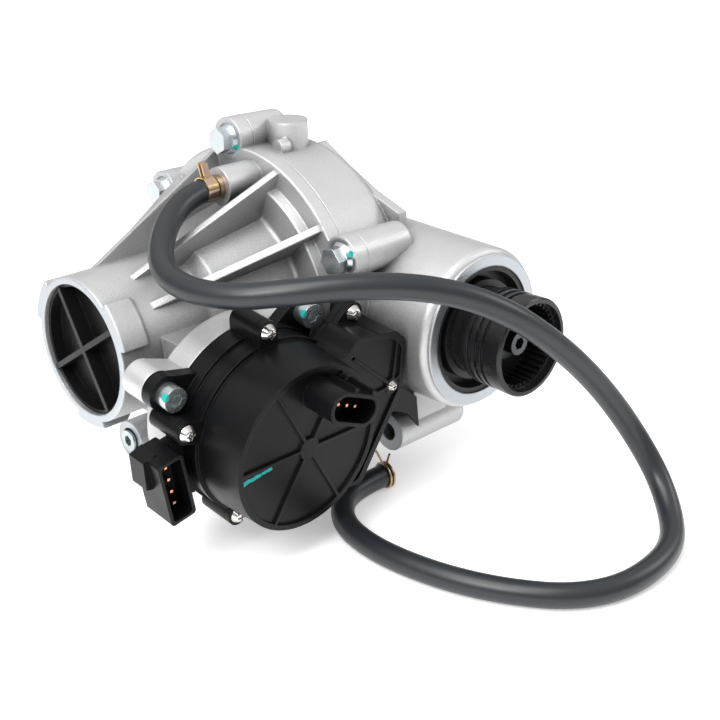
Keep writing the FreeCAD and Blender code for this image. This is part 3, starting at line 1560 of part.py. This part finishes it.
def hose_path():
    """Straight runs and tangent arcs round the route's points; returns wire and radii."""
    first = hose_start()
    points = [first, first - V(hose_lead, 0, 0)] + [V(*p) for p in hose_route]
    edges = []
    radii = []
    last = points[0]
    for i in range(1, len(points) - 1):
        back = points[i - 1] - points[i]
        ahead = points[i + 1] - points[i]
        run = min(back.Length, ahead.Length)
        back.normalize()
        ahead.normalize()
        turn = math.pi - back.getAngle(ahead)
        reach = 0.45 * run
        radius = reach / math.tan(turn / 2)
        radii.append(radius)
        half = math.pi / 2 - turn / 2
        middle = (back + ahead).normalize()
        centre = points[i] + middle * (radius / math.sin(half))
        start = points[i] + back * reach
        stop = points[i] + ahead * reach
        edges.append(Part.makeLine(last, start))
        edges.append(Part.Arc(start, centre - middle * radius, stop).toShape())
        last = stop
    edges.append(Part.makeLine(last, points[-1]))
    return Part.Wire(edges), radii


def breather_hose():
    path, radii = hose_path()
    way = path.Edges[0].tangentAt(path.Edges[0].FirstParameter)
    start = path.Edges[0].Vertexes[0].Point
    outer = Part.Wire(Part.makeCircle(hose_radius, start, way))
    inner = Part.Wire(Part.makeCircle(hose_bore, start, way))
    tube = path.makePipeShell([outer], True, False).cut(path.makePipeShell([inner], True, False))
    area = math.pi * (hose_radius ** 2 - hose_bore ** 2)
    print("hose radii", [round(r, 1) for r in radii])
    print("hose length", round(path.Length, 1), "volume share", round(tube.Volume / area / path.Length, 4))
    return tube


def band_clip(centre, way, up):
    """Spring band round the hose with two upright ears."""
    back = way * (clip_width / 2)
    ring = rod(hose_radius + clip_wall, centre - back, way, clip_width)
    ring = ring.cut(rod(hose_radius + 0.02, centre - back * 2, way, clip_width * 2))
    across = way.cross(up)
    made = [ring]
    for side, lean in ((-1, -0.35), (1, 0.35)):
        foot = centre + up * (hose_radius + clip_wall / 2) + across * (side * 1.6)
        tip = (up + across * (side * lean)).normalize()
        ear = Part.makeBox(clip_width * 0.55, 1.0, 8.0)
        ear.translate(V(-clip_width * 0.275, -0.5, 0))
        turn = FreeCAD.Matrix(way.x, (tip.cross(way)).x, tip.x, foot.x,
                              way.y, (tip.cross(way)).y, tip.y, foot.y,
                              way.z, (tip.cross(way)).z, tip.z, foot.z, 0, 0, 0, 1)
        ear.Placement = FreeCAD.Placement(turn).multiply(ear.Placement)
        made.append(ear)
    return join(*made)


def hose_clip_fixed():
    way = V(-1, 0, 0)
    return band_clip(hose_start() + way * (clip_width / 2 + 1.5), way, V(0, 0, 1))


def hose_clip_free():
    """Wire spring clip at the open end: two turns and two long ears."""
    last = V(*hose_route[-1])
    before = V(*hose_route[-2])
    way = (last - before).normalize()
    wire = 0.7
    ring_radius = hose_radius + wire + 0.02
    made = []
    for step in (1.2, 3.6):
        centre = last - way * step
        made.append(Part.makeTorus(ring_radius, wire, centre, way))
    bridge = rod(wire, last - way * 4.0 + V(0, 0, ring_radius), way, 3.2)
    made.append(bridge)
    across = way.cross(V(0, 0, 1)).normalize()
    for lean, step in ((0.55, 1.2), (-0.75, 3.6)):
        foot = last - way * step + V(0, 0, ring_radius)
        tip = (V(0, 0, 1) + across * lean - way * 0.2).normalize()
        made.append(rod(wire, foot, tip, 9.0))
    return join(*made)


def one(shape):
    return shape


def group(shapes):
    return Part.makeCompound(shapes)


def pinion_group(make, places):
    made = []
    for place in places:
        shape = make(place)
        shapes = shape if isinstance(shape, list) else [shape]
        made += [on_pinion(s) for s in shapes]
    return made


def build_parts():
    pinion_places = (head_bearing_y, tail_bearing_y)
    carrier_places = (carrier_left_x, carrier_right_x)
    parts = {
        "main_case": main_case(),
        "left_cover": left_cover(),
        "cover_bolts": group(cover_bolts()),
        "long_cover_screw": long_cover_screw(),
        "cover_o_ring": Part.makeTorus(ring_seat, o_ring_radius, V(split_x - o_ring_radius - seat_gap, 0, 0), V(1, 0, 0)),
        "dowel_pins": group(dowel_rods(0)),
        "fill_plug": case_plug(fill_angle),
        "drain_plug": case_plug(drain_angle),
        "plug_washers": group([plug_washer(fill_angle), plug_washer(drain_angle)]),
        "left_port_plug": left_port_plug(),
        "right_port_plug": right_port_plug(),
        "left_axle_seal": axle_seal(plug_width + 4, seal_width, shaft_seat),
        "right_axle_seal": axle_seal(right_seal_x, seal_width, shaft_seat),
        "pinion_seal": pinion_seal(),
        "axle_bearing_outer": outer_race(axle_bearing_x),
        "axle_bearing_inner": inner_race(axle_bearing_x),
        "axle_bearing_rollers": group(rollers(axle_bearing_x)),
        "carrier_bearing_outers": group([outer_race(x) for x in carrier_places]),
        "carrier_bearing_inners": group([inner_race(x) for x in carrier_places]),
        "carrier_bearing_rollers": group(rollers(carrier_left_x) + rollers(carrier_right_x)),
        "pinion_bearing_outers": group(pinion_group(outer_race, pinion_places)),
        "pinion_bearing_inners": group(pinion_group(inner_race, pinion_places)),
        "pinion_bearing_rollers": group(pinion_group(rollers, pinion_places)),
        "pinion_shaft": pinion_shaft(),
        "pinion_spacer": pinion_spacer(),
        "propshaft_coupler": propshaft_coupler(),
        "coupler_screw": coupler_screw(),
        "coupler_washer": coupler_washer(),
        "ring_gear": ring_gear(),
        "ring_gear_bolts": group(ring_gear_bolts()),
        "carrier_body": carrier_body(),
        "cross_pin": cross_pin(),
        "cross_pin_lock": lock_pin(),
        "gear_washers": group(gear_washers()),
        "left_side_gear": side_gear(-1),
        "right_side_gear": join(side_gear(1), right_stub()),
        "spider_gear_top": spider_gear(1),
        "spider_gear_bottom": spider_gear(-1),
        "left_output_shaft": left_output_shaft(),
        "lock_collar": lock_collar(),
        "lock_dog_ring": lock_dog_ring(),
        "fork_rod": fork_rod(),
        "shift_fork": shift_fork(),
        "actuator_base": actuator_base(),
        "actuator_cover": actuator_cover(),
        "actuator_gasket": actuator_gasket(),
        "actuator_o_ring": actuator_o_ring(),
        "actuator_cap_screws": group(actuator_cap_screws()),
        "actuator_cover_screws": group(actuator_cover_screws()),
        "actuator_small_screw": actuator_small_screw(),
        "side_socket_pins": group(side_socket_pins()),
        "top_socket_pins": group(top_socket_pins()),
        "output_drive": output_drive(),
        "idler_gear": idler_gear(),
        "motor": motor(),
        "motor_pinion": motor_pinion(),
        "breather_nipple": breather_nipple(),
        "breather_hose": breather_hose(),
        "hose_clip_fixed": hose_clip_fixed(),
        "hose_clip_free": hose_clip_free(),
    }
    return parts


os.makedirs("parts", exist_ok=True)
for name, shape in build_parts().items():
    shape.exportStep("parts/" + name + ".step")
    print(name, "solids", len(shape.Solids), "volume", round(shape.Volume, 1), "valid", shape.isValid())
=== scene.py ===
import json
import math

import bmesh
import bpy
from mathutils import Matrix, Vector


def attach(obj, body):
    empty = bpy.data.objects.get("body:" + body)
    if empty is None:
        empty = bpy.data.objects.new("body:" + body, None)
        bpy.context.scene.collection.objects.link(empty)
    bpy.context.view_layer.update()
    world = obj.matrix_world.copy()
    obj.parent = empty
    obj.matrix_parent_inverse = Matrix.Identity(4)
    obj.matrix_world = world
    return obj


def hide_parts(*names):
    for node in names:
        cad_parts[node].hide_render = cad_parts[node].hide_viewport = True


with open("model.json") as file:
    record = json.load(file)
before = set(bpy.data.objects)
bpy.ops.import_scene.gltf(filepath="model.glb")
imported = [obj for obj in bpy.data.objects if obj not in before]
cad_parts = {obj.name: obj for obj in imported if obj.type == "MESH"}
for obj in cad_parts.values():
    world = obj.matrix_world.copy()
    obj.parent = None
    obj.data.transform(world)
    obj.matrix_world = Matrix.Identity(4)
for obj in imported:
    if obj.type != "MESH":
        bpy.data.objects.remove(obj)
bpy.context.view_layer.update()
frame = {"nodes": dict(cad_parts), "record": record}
nodes = frame["nodes"]
scene = bpy.context.scene
mm = 0.001


# Camera: a long lens from the front left, a little above the axle. Its place and turn were solved from
# the rims of the port, drum and snout and from the bolts in the photograph.
def look_at_part():
    data = bpy.data.cameras.new("camera")
    data.lens = 64.31
    data.sensor_width = 36.0
    data.clip_start = 0.05
    data.clip_end = 20.0
    camera = bpy.data.objects.new("camera", data)
    right = Vector((0.7267, -0.6868, -0.0110))
    up = Vector((0.2891, 0.2912, 0.9119))
    back = Vector((-0.6231, -0.6659, 0.4102))
    place = Matrix((right, up, back)).transposed().to_4x4()
    place.translation = Vector((-0.3163, -0.5526, 0.2712))
    camera.matrix_world = place
    scene.collection.objects.link(camera)
    scene.camera = camera


look_at_part()


# Materials: one shared group gives every finish its grain, mottling, wandering gloss and soft edges.
# It works in object coordinates, darkens deep corners as painted shade and lightens edges, partly as
# wear and partly as a painted highlight.
mottle_scale = 34.0
corner_reach = 0.036
grain_depth = 0.0004
speck_strength = 0.6
ray_samples = 6


def wire(tree, out_node, out_name, in_node, in_name):
    tree.links.new(out_node.outputs[out_name], in_node.inputs[in_name])


def number(tree, kind, first, second, clamp=False):
    """A math node; each side is a number or a (node, socket) pair."""
    node = tree.nodes.new("ShaderNodeMath")
    node.operation = kind
    node.use_clamp = clamp
    for slot, side in enumerate((first, second)):
        if isinstance(side, tuple):
            tree.links.new(side[0].outputs[side[1]], node.inputs[slot])
        else:
            node.inputs[slot].default_value = side
    return node, 0


def noise(tree, place, scale, detail):
    node = tree.nodes.new("ShaderNodeTexNoise")
    node.inputs["Scale"].default_value = scale
    node.inputs["Detail"].default_value = detail
    tree.links.new(place[0].outputs[place[1]], node.inputs["Vector"])
    return node


def surface_group():
    group = bpy.data.node_groups.new("surface", "ShaderNodeTree")
    for name, kind in (("Colour", "Color"), ("Roughness", "Float"), ("Mottle", "Float"), ("Wander", "Float"),
                       ("Grain", "Float"), ("Bump", "Float"), ("Edge", "Float"), ("Soft", "Float"),
                       ("PaintedShade", "Float")):
        group.interface.new_socket(name, in_out="INPUT", socket_type="NodeSocket" + kind)
    for name, kind in (("Colour", "Color"), ("Roughness", "Float"), ("Normal", "Vector")):
        group.interface.new_socket(name, in_out="OUTPUT", socket_type="NodeSocket" + kind)
    given = group.nodes.new("NodeGroupInput")
    result = group.nodes.new("NodeGroupOutput")
    place = group.nodes.new("ShaderNodeTexCoord")

    slow = noise(group, (place, "Object"), mottle_scale, 5.0)
    fine = noise(group, (place, "Object"), 900.0, 3.0)
    wire(group, given, "Grain", fine, "Scale")
    drift = number(group, "SUBTRACT", (slow, "Fac"), 0.5)
    rounded = group.nodes.new("ShaderNodeBevel")
    rounded.samples = ray_samples
    wire(group, given, "Soft", rounded, "Radius")
    true = group.nodes.new("ShaderNodeNewGeometry")
    facing = group.nodes.new("ShaderNodeVectorMath")
    facing.operation = "DOT_PRODUCT"
    wire(group, rounded, "Normal", facing, 0)
    wire(group, true, "Normal", facing, 1)
    # Painted highlight: the colour is lightened along edges, where the rounded normal turns away from the
    # true one; partly it stands for wear.
    edge = number(group, "SUBTRACT", 1.0, (facing, "Value"), True)
    edge = number(group, "MULTIPLY", edge, (given, "Edge"), True)

    shade = number(group, "MULTIPLY", drift, (given, "Mottle"))
    shade = number(group, "ADD", shade, 1.0)
    shade = number(group, "ADD", shade, edge)
    speck = number(group, "SUBTRACT", (fine, "Fac"), 0.5)
    speck = number(group, "MULTIPLY", speck, (given, "Bump"))
    speck = number(group, "MULTIPLY", speck, speck_strength)
    shade = number(group, "ADD", shade, speck)
    # Painted shade: the colour is darkened where the ambient occlusion finds nearby surfaces, in corners and
    # recesses.
    open_sky = group.nodes.new("ShaderNodeAmbientOcclusion")
    open_sky.samples = ray_samples
    open_sky.inputs["Distance"].default_value = corner_reach
    corner_shade = number(group, "SUBTRACT", 1.0, (open_sky, "AO"), True)
    corner_shade = number(group, "MULTIPLY", corner_shade, (given, "PaintedShade"), True)
    shade = number(group, "SUBTRACT", shade, corner_shade, True)
    tint = group.nodes.new("ShaderNodeHueSaturation")
    wire(group, given, "Colour", tint, "Color")
    wire(group, shade[0], 0, tint, "Value")
    wire(group, tint, "Color", result, "Colour")
    gloss = number(group, "MULTIPLY", drift, (given, "Wander"))
    gloss = number(group, "ADD", gloss, (given, "Roughness"), True)
    wire(group, gloss[0], 0, result, "Roughness")
    relief = group.nodes.new("ShaderNodeBump")
    relief.inputs["Distance"].default_value = grain_depth
    wire(group, given, "Bump", relief, "Strength")
    wire(group, fine, "Fac", relief, "Height")
    wire(group, rounded, "Normal", relief, "Normal")
    wire(group, relief, "Normal", result, "Normal")
    return group


surface = surface_group()


# Turned and milled faces: bluish metal where a tool has skimmed the castings, given as flat rings on planes.
# Each row holds the axis and the way that the face looks, its centre, and its inner and outer radius: both
# port mouths, the snout's ring, the front lug and the long lug, and a spot face under each flange bolt.
skim_depth = 0.3
skim_slope = 0.97
skim_colour = (0.43, 0.46, 0.485)
skim_gloss = 0.31
skim_metal = 0.95


def round_axle(angle, radius, x):
    turn = math.radians(angle)
    return (x, -radius * math.sin(turn), radius * math.cos(turn))


bolt_angles = (-7.5, 62.0, 135.0, -108.0, -59.5)
long_lug_angle = -157.0
bolt_circle = 91.0
cover_face = 113.0
long_lug_face = 47.0
port_mouths = ((-1, 0.0), (1, 212.0))
port_ring = (30.0, 46.0)
snout_face = (170.0, -131.0, 0.0)
snout_ring = (34.0, 42.6)
front_lug = (137.0, -91.0, -64.0)
lug_disc = (0.0, 12.0)
bolt_ring = (8.0, 10.7)
skimmed = [(0, sign, (x, 0.0, 0.0), *port_ring) for sign, x in port_mouths]
skimmed.append((1, -1, snout_face, *snout_ring))
skimmed.append((0, -1, front_lug, *lug_disc))
skimmed.append((0, -1, round_axle(long_lug_angle, bolt_circle, long_lug_face), *lug_disc))
skimmed += [(0, -1, round_axle(angle, bolt_circle, cover_face), *bolt_ring) for angle in bolt_angles]


def skimmed_group():
    group = bpy.data.node_groups.new("skimmed", "ShaderNodeTree")
    group.interface.new_socket("Fac", in_out="OUTPUT", socket_type="NodeSocketFloat")
    result = group.nodes.new("NodeGroupOutput")
    place = group.nodes.new("ShaderNodeTexCoord")
    spot = group.nodes.new("ShaderNodeSeparateXYZ")
    way = group.nodes.new("ShaderNodeSeparateXYZ")
    wire(group, place, "Object", spot, 0)
    wire(group, place, "Normal", way, 0)
    total = None
    for axis, sign, centre, inner, outer in skimmed:
        depth = number(group, "SUBTRACT", (spot, axis), centre[axis] * mm)
        depth = number(group, "ABSOLUTE", depth, 0.0)
        mask = number(group, "LESS_THAN", depth, skim_depth * mm)
        facing = number(group, "MULTIPLY", (way, axis), float(sign))
        facing = number(group, "GREATER_THAN", facing, skim_slope)
        mask = number(group, "MULTIPLY", mask, facing)
        away = group.nodes.new("ShaderNodeVectorMath")
        away.operation = "DISTANCE"
        wire(group, place, "Object", away, 0)
        away.inputs[1].default_value = Vector(centre) * mm
        within = number(group, "LESS_THAN", (away, "Value"), outer * mm)
        beyond = number(group, "GREATER_THAN", (away, "Value"), inner * mm)
        ring = number(group, "MULTIPLY", within, beyond)
        mask = number(group, "MULTIPLY", mask, ring)
        total = mask if total is None else number(group, "MAXIMUM", total, mask)
    wire(group, total[0], 0, result, "Fac")
    return group


# Paint marks: teal dabs with a ragged edge, that show a screw has been tightened, and a stroke of the same
# paint on the actuator's face. The actuator stands askew, so its spots are worked out from its own two
# directions, and a flange bolt's dab sits at its rim, turned by an angle of its own.
paint_colour = (0.010, 0.34, 0.31)
paint_gloss = 0.45
paint_scale = 420.0
paint_rag = 1.8
act_tilt = math.radians(5)
act_centre = Vector((50.0, -124.0, -30.0))
act_up = Vector((0.0, -math.sin(act_tilt), math.cos(act_tilt)))
act_out = Vector((0.0, -math.cos(act_tilt), -math.sin(act_tilt)))


def on_actuator(u, v, w):
    return act_centre + Vector((u, 0, 0)) + act_up * v + act_out * w


def top_of(node, way):
    """How far a node reaches along a direction from the actuator's middle, in mm."""
    return max((point.co / mm - act_centre).dot(way) for point in nodes[node].data.vertices)


screw_top = top_of("actuator_cap_screws", act_out)
cap_screws = ((-53.6, 29.9), (32.6, 48.9), (41.0, -47.0))
cap_dab = 2.2
dabs = [(on_actuator(u - 6.0, v + 3.0, screw_top - 1.0), cap_dab) for u, v in cap_screws]
bolt_rim = 9.4
bolt_rim_step = 1.2
bolt_dab = 1.9
for angle, turn in zip(bolt_angles, (200, 150, 60, 120, 170)):
    middle = Vector(round_axle(angle, bolt_circle, cover_face - bolt_rim_step))
    aside = Vector((0, math.cos(math.radians(turn)), math.sin(math.radians(turn))))
    dabs.append((middle + aside * bolt_rim, bolt_dab))
stroke_start = (-40.6, -5.1)
stroke_step = (1.66, 0.21)
stroke_face = -1.4
for i in range(11):
    u = stroke_start[0] + stroke_step[0] * i
    v = stroke_start[1] + stroke_step[1] * i
    dabs.append((on_actuator(u, v, stroke_face), 1.3 - 0.03 * i))
coupler_dab = Vector((165.5, -139.0, 3.0))
dabs.append((coupler_dab, 2.6))


def dabs_group():
    group = bpy.data.node_groups.new("dabs", "ShaderNodeTree")
    group.interface.new_socket("Fac", in_out="OUTPUT", socket_type="NodeSocketFloat")
    result = group.nodes.new("NodeGroupOutput")
    place = group.nodes.new("ShaderNodeTexCoord")
    ragged = noise(group, (place, "Object"), paint_scale, 3.0)
    push = number(group, "SUBTRACT", (ragged, "Fac"), 0.5)
    push = number(group, "MULTIPLY", push, paint_rag * mm)
    total = None
    for spot, radius in dabs:
        away = group.nodes.new("ShaderNodeVectorMath")
        away.operation = "DISTANCE"
        wire(group, place, "Object", away, 0)
        away.inputs[1].default_value = spot * mm
        edge = number(group, "ADD", (away, "Value"), push)
        mask = number(group, "LESS_THAN", edge, radius * mm)
        total = mask if total is None else number(group, "MAXIMUM", total, mask)
    wire(group, total[0], 0, result, "Fac")
    return group


skims = skimmed_group()
paint = dabs_group()


def blend(tree, factor, first, second):
    """Mix a socket with a fixed colour or number; returns the mixed socket."""
    node = tree.nodes.new("ShaderNodeMix")
    coloured = isinstance(second, tuple)
    node.data_type = "RGBA" if coloured else "FLOAT"
    low, high, out = (6, 7, 2) if coloured else (2, 3, 0)
    tree.links.new(factor, node.inputs[0])
    if isinstance(first, float):
        node.inputs[low].default_value = first
    else:
        tree.links.new(first, node.inputs[low])
    node.inputs[high].default_value = (*second, 1) if coloured else second
    return node.outputs[out]


# Finishes: one for each material slot, from sand-cast aluminium and three platings to moulded plastic and
# rubber. A tinted finish shifts to its second colour in soft clouds, as plating does.
cloud_scale = 160.0
cloud_contrast = 5.0
cloud_start = -2.1


def finish(name, colour, rough, metal=0.0, grain=900.0, bump=0.12, mottle=0.12, wander=0.3, soft=0.3,
           edge=0.0, painted_shade=0.0, shine=0.5, machined=False, painted=False, tint=None):
    """One finish; soft is the radius in mm that edges seem to have, tint a second colour in clouds."""
    material = bpy.data.materials.new(name)
    material.use_nodes = True
    tree = material.node_tree
    shader = tree.nodes["Principled BSDF"]
    shader.inputs["Metallic"].default_value = metal
    shader.inputs["Specular IOR Level"].default_value = shine
    look = tree.nodes.new("ShaderNodeGroup")
    look.node_tree = surface
    for socket, value in (("Colour", (*colour, 1)), ("Roughness", rough), ("Mottle", mottle),
                          ("Wander", wander), ("Grain", grain), ("Bump", bump), ("Edge", edge),
                          ("Soft", soft * mm), ("PaintedShade", painted_shade)):
        look.inputs[socket].default_value = value
    shade, gloss, metallic = look.outputs["Colour"], look.outputs["Roughness"], float(metal)
    if tint:
        place = tree.nodes.new("ShaderNodeTexCoord")
        cloud = noise(tree, (place, "Object"), cloud_scale, 2.0)
        patch = number(tree, "MULTIPLY_ADD", (cloud, "Fac"), cloud_contrast, True)
        patch[0].inputs[2].default_value = cloud_start
        shade = blend(tree, patch[0].outputs[0], shade, tint)
    if machined:
        mask = tree.nodes.new("ShaderNodeGroup")
        mask.node_tree = skims
        shade = blend(tree, mask.outputs["Fac"], shade, skim_colour)
        gloss = blend(tree, mask.outputs["Fac"], gloss, skim_gloss)
        metallic = blend(tree, mask.outputs["Fac"], metallic, skim_metal)
    if painted:
        mask = tree.nodes.new("ShaderNodeGroup")
        mask.node_tree = paint
        shade = blend(tree, mask.outputs["Fac"], shade, paint_colour)
        gloss = blend(tree, mask.outputs["Fac"], gloss, paint_gloss)
        metallic = blend(tree, mask.outputs["Fac"], metallic, 0.0)
    tree.links.new(shade, shader.inputs["Base Color"])
    tree.links.new(gloss, shader.inputs["Roughness"])
    if not isinstance(metallic, float):
        tree.links.new(metallic, shader.inputs["Metallic"])
    wire(tree, look, "Normal", shader, "Normal")
    return material


# The corner darkening that each finish below gets is painted shade; its edge lightening is partly wear and
# partly a painted highlight.
finishes = {
    "cast_aluminium": finish(
        "cast_aluminium", (0.60, 0.60, 0.605), rough=0.40, metal=0.62, grain=1300, bump=0.55,
        mottle=0.18, wander=0.25, soft=1.4, edge=0.05, painted_shade=0.85, machined=True, painted=True),
    "zinc_steel": finish(
        "zinc_steel", (0.55, 0.61, 0.64), rough=0.24, metal=0.95, grain=700, bump=0.06, mottle=0.3,
        wander=0.35, soft=0.4, edge=0.1, painted_shade=0.3, painted=True, tint=(0.56, 0.58, 0.58)),
    "nickel_steel": finish(
        "nickel_steel", (0.76, 0.73, 0.69), rough=0.16, metal=1.0, grain=600, bump=0.03, mottle=0.1,
        wander=0.2, soft=0.25, painted_shade=0.4),
    "yellow_zinc": finish(
        "yellow_zinc", (0.60, 0.45, 0.22), rough=0.23, metal=0.95, grain=500, bump=0.05, mottle=0.4,
        wander=0.3, soft=0.2, painted_shade=0.3, tint=(0.58, 0.40, 0.36)),
    # A darker copy of steel for the screw and washer in the coupler's bore: painted shade.
    "bore_shade_steel": finish(
        "bore_shade_steel", (0.09, 0.095, 0.10), rough=0.28, metal=0.9, grain=700, bump=0.06, mottle=0.3,
        wander=0.3, soft=0.3, edge=0.2, painted_shade=0.5, painted=True),
    "gear_steel": finish(
        "gear_steel", (0.42, 0.43, 0.45), rough=0.28, metal=1.0, grain=800, bump=0.05),
    "black_steel": finish(
        "black_steel", (0.012, 0.012, 0.013), rough=0.28, metal=0.2, grain=800, bump=0.06, mottle=0.3,
        wander=0.25, soft=0.4, edge=0.5),
    "black_plastic": finish(
        "black_plastic", (0.0034, 0.0035, 0.0040), rough=0.36, grain=1800, bump=0.08, mottle=0.3,
        wander=0.25, soft=0.6, edge=0.6, shine=0.17, painted=True),
    "plug_plastic": finish(
        "plug_plastic", (0.0055, 0.0055, 0.006), rough=0.36, grain=1200, bump=0.08, mottle=0.3,
        wander=0.25, soft=0.6, edge=0.6, shine=0.2),
    "seal_rubber": finish(
        "seal_rubber", (0.006, 0.006, 0.0065), rough=0.45, bump=0.06, shine=0.4),
    "hose_rubber": finish(
        "hose_rubber", (0.015, 0.018, 0.022), rough=0.36, grain=1300, bump=0.08, mottle=0.15,
        wander=0.15, soft=0.0),
    "copper_pin": finish(
        "copper_pin", (0.75, 0.36, 0.18), rough=0.22, metal=1.0, grain=600, bump=0.03),
    "brass_steel": finish(
        "brass_steel", (0.55, 0.42, 0.23), rough=0.30, metal=1.0, grain=700, bump=0.06),
}


def wear(thing, name):
    """Give a piece one finish, the one named after the record's slot that it stands for."""
    thing.data.materials.clear()
    thing.data.materials.append(finishes[name])
    return thing


# Hose: one soft line of rubber from the nipple, over the actuator, out past the coupler and back along
# the floor, held by a band clip at the nipple and with a loose wire clip on its open end. The points
# repeat the route of the solid hose.
hose_start = Vector((87.0, -7.526, 71.605)) * mm
hose_lead = 14.5 * mm
hose_outer = 6.5 * mm
hose_wall = 2.5 * mm
hose_route = (
    (51.6, -15.5, 64.9),
    (33.3, -31.3, 56.5),
    (20.3, -51.5, 51.3),
    (17.0, -75.5, 49.9),
    (25.0, -101.0, 50.7),
    (42.2, -122.8, 54.6),
    (64.8, -140.7, 56.6),
    (89.0, -155.5, 54.0),
    (112.4, -167.9, 46.5),
    (134.5, -177.7, 33.9),
    (156.2, -184.1, 16.7),
    (177.2, -189.7, -3.0),
    (196.5, -195.5, -25.7),
    (211.0, -204.3, -50.0),
    (215.9, -218.8, -72.6),
    (204.2, -236.8, -86.3),
    (185.6, -250.0, -89.4),
    (160.2, -255.6, -89.3),
    (133.9, -253.8, -89.4),
    (111.4, -241.5, -89.3),
    (95.2, -220.0, -89.4),
    (83.3, -195.8, -89.3),
    (76.4, -169.9, -89.4),
    (73.7, -142.9, -89.3),
    (78.5, -116.5, -89.4),
    (95.3, -96.9, -89.3),
    (120.0, -92.0, -89.4),
    (134.5, -93.5, -89.3),
)


def make_hose():
    data = bpy.data.curves.new("breather_hose_soft", "CURVE")
    data.dimensions = "3D"
    data.bevel_depth = hose_outer
    data.bevel_resolution = 8
    data.resolution_u = 10
    line = data.splines.new("NURBS")
    points = [hose_start, hose_start - Vector((hose_lead, 0, 0))]
    points += [Vector(p) * mm for p in hose_route]
    line.points.add(len(points) - 1)
    for spot, point in zip(line.points, points):
        spot.co = (*point, 1)
    line.order_u = 3
    line.use_endpoint_u = True
    hose = bpy.data.objects.new("breather_hose_soft", data)
    scene.collection.objects.link(hose)
    thick = hose.modifiers.new("wall", "SOLIDIFY")
    thick.thickness = hose_wall
    thick.offset = -1
    wear(hose, "hose_rubber")
    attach(hose, "housing")
    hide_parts("breather_hose")
    return hose


hose = make_hose()


# The frame's own solids take the finish of their slot. The screw and washer down in the coupler's bore sit
# in shade, so they get a darker steel of their own: painted shade.
bore_shaded = {"coupler_screw": "bore_shade_steel", "coupler_washer": "bore_shade_steel"}
for sub in frame["record"]["subparts"]:
    thing = nodes[sub["node"]]
    if thing.data.materials:
        thing.material_slots[0].link = "OBJECT"
        thing.material_slots[0].material = finishes[bore_shaded.get(sub["node"], sub["material_slot"])]


# Studio: a pale floor that glows a little, so that shadows on it stay faint as in the photograph, a sky
# that darkens to the horizon, and three soft lamps from above and both sides.
floor_level = -0.0962
sky_strength = 0.9
lamps = (
    ("key", (-0.45, -0.20, 1.25), 0.9, 13),
    ("left", (-0.95, -0.40, 0.85), 0.5, 11),
    ("right", (1.1, -0.7, 0.6), 0.5, 3),
)
floor_half = 60.0
floor_glow = 0.35
horizon_grey = (0.10, 0.10, 0.105, 1)
sky_white = (1, 1, 1, 1)
sky_white_from = 0.75
lamp_target = Vector((0.1, -0.05, 0))


def studio():
    grid = bmesh.new()
    bmesh.ops.create_grid(grid, x_segments=1, y_segments=1, size=floor_half)
    data = bpy.data.meshes.new("floor")
    grid.to_mesh(data)
    grid.free()
    floor = bpy.data.objects.new("floor", data)
    floor.location = (0, 0, floor_level)
    scene.collection.objects.link(floor)
    paper = finish("paper", (0.93, 0.93, 0.93), rough=0.7, grain=60, bump=0.0, mottle=0.0, wander=0.0,
                   soft=0.0)
    glow = paper.node_tree.nodes["Principled BSDF"]
    glow.inputs["Emission Color"].default_value = sky_white
    glow.inputs["Emission Strength"].default_value = floor_glow
    data.materials.append(paper)

    world = bpy.data.worlds.new("studio")
    world.use_nodes = True
    tree = world.node_tree
    place = tree.nodes.new("ShaderNodeTexCoord")
    split = tree.nodes.new("ShaderNodeSeparateXYZ")
    ramp = tree.nodes.new("ShaderNodeValToRGB")
    wire(tree, place, "Generated", split, "Vector")
    wire(tree, split, "Z", ramp, "Fac")
    ramp.color_ramp.elements[0].position = 0.0
    ramp.color_ramp.elements[0].color = horizon_grey
    ramp.color_ramp.elements[1].position = sky_white_from
    ramp.color_ramp.elements[1].color = sky_white
    wire(tree, ramp, "Color", tree.nodes["Background"], "Color")
    tree.nodes["Background"].inputs["Strength"].default_value = sky_strength
    scene.world = world
    for name, spot, size, power in lamps:
        data = bpy.data.lights.new(name, "AREA")
        data.size = size
        data.energy = power
        lamp = bpy.data.objects.new(name, data)
        lamp.location = spot
        aim = lamp_target - Vector(spot)
        lamp.rotation_euler = aim.to_track_quat("-Z", "Y").to_euler()
        scene.collection.objects.link(lamp)


studio()
scene.view_settings.view_transform = "Standard"
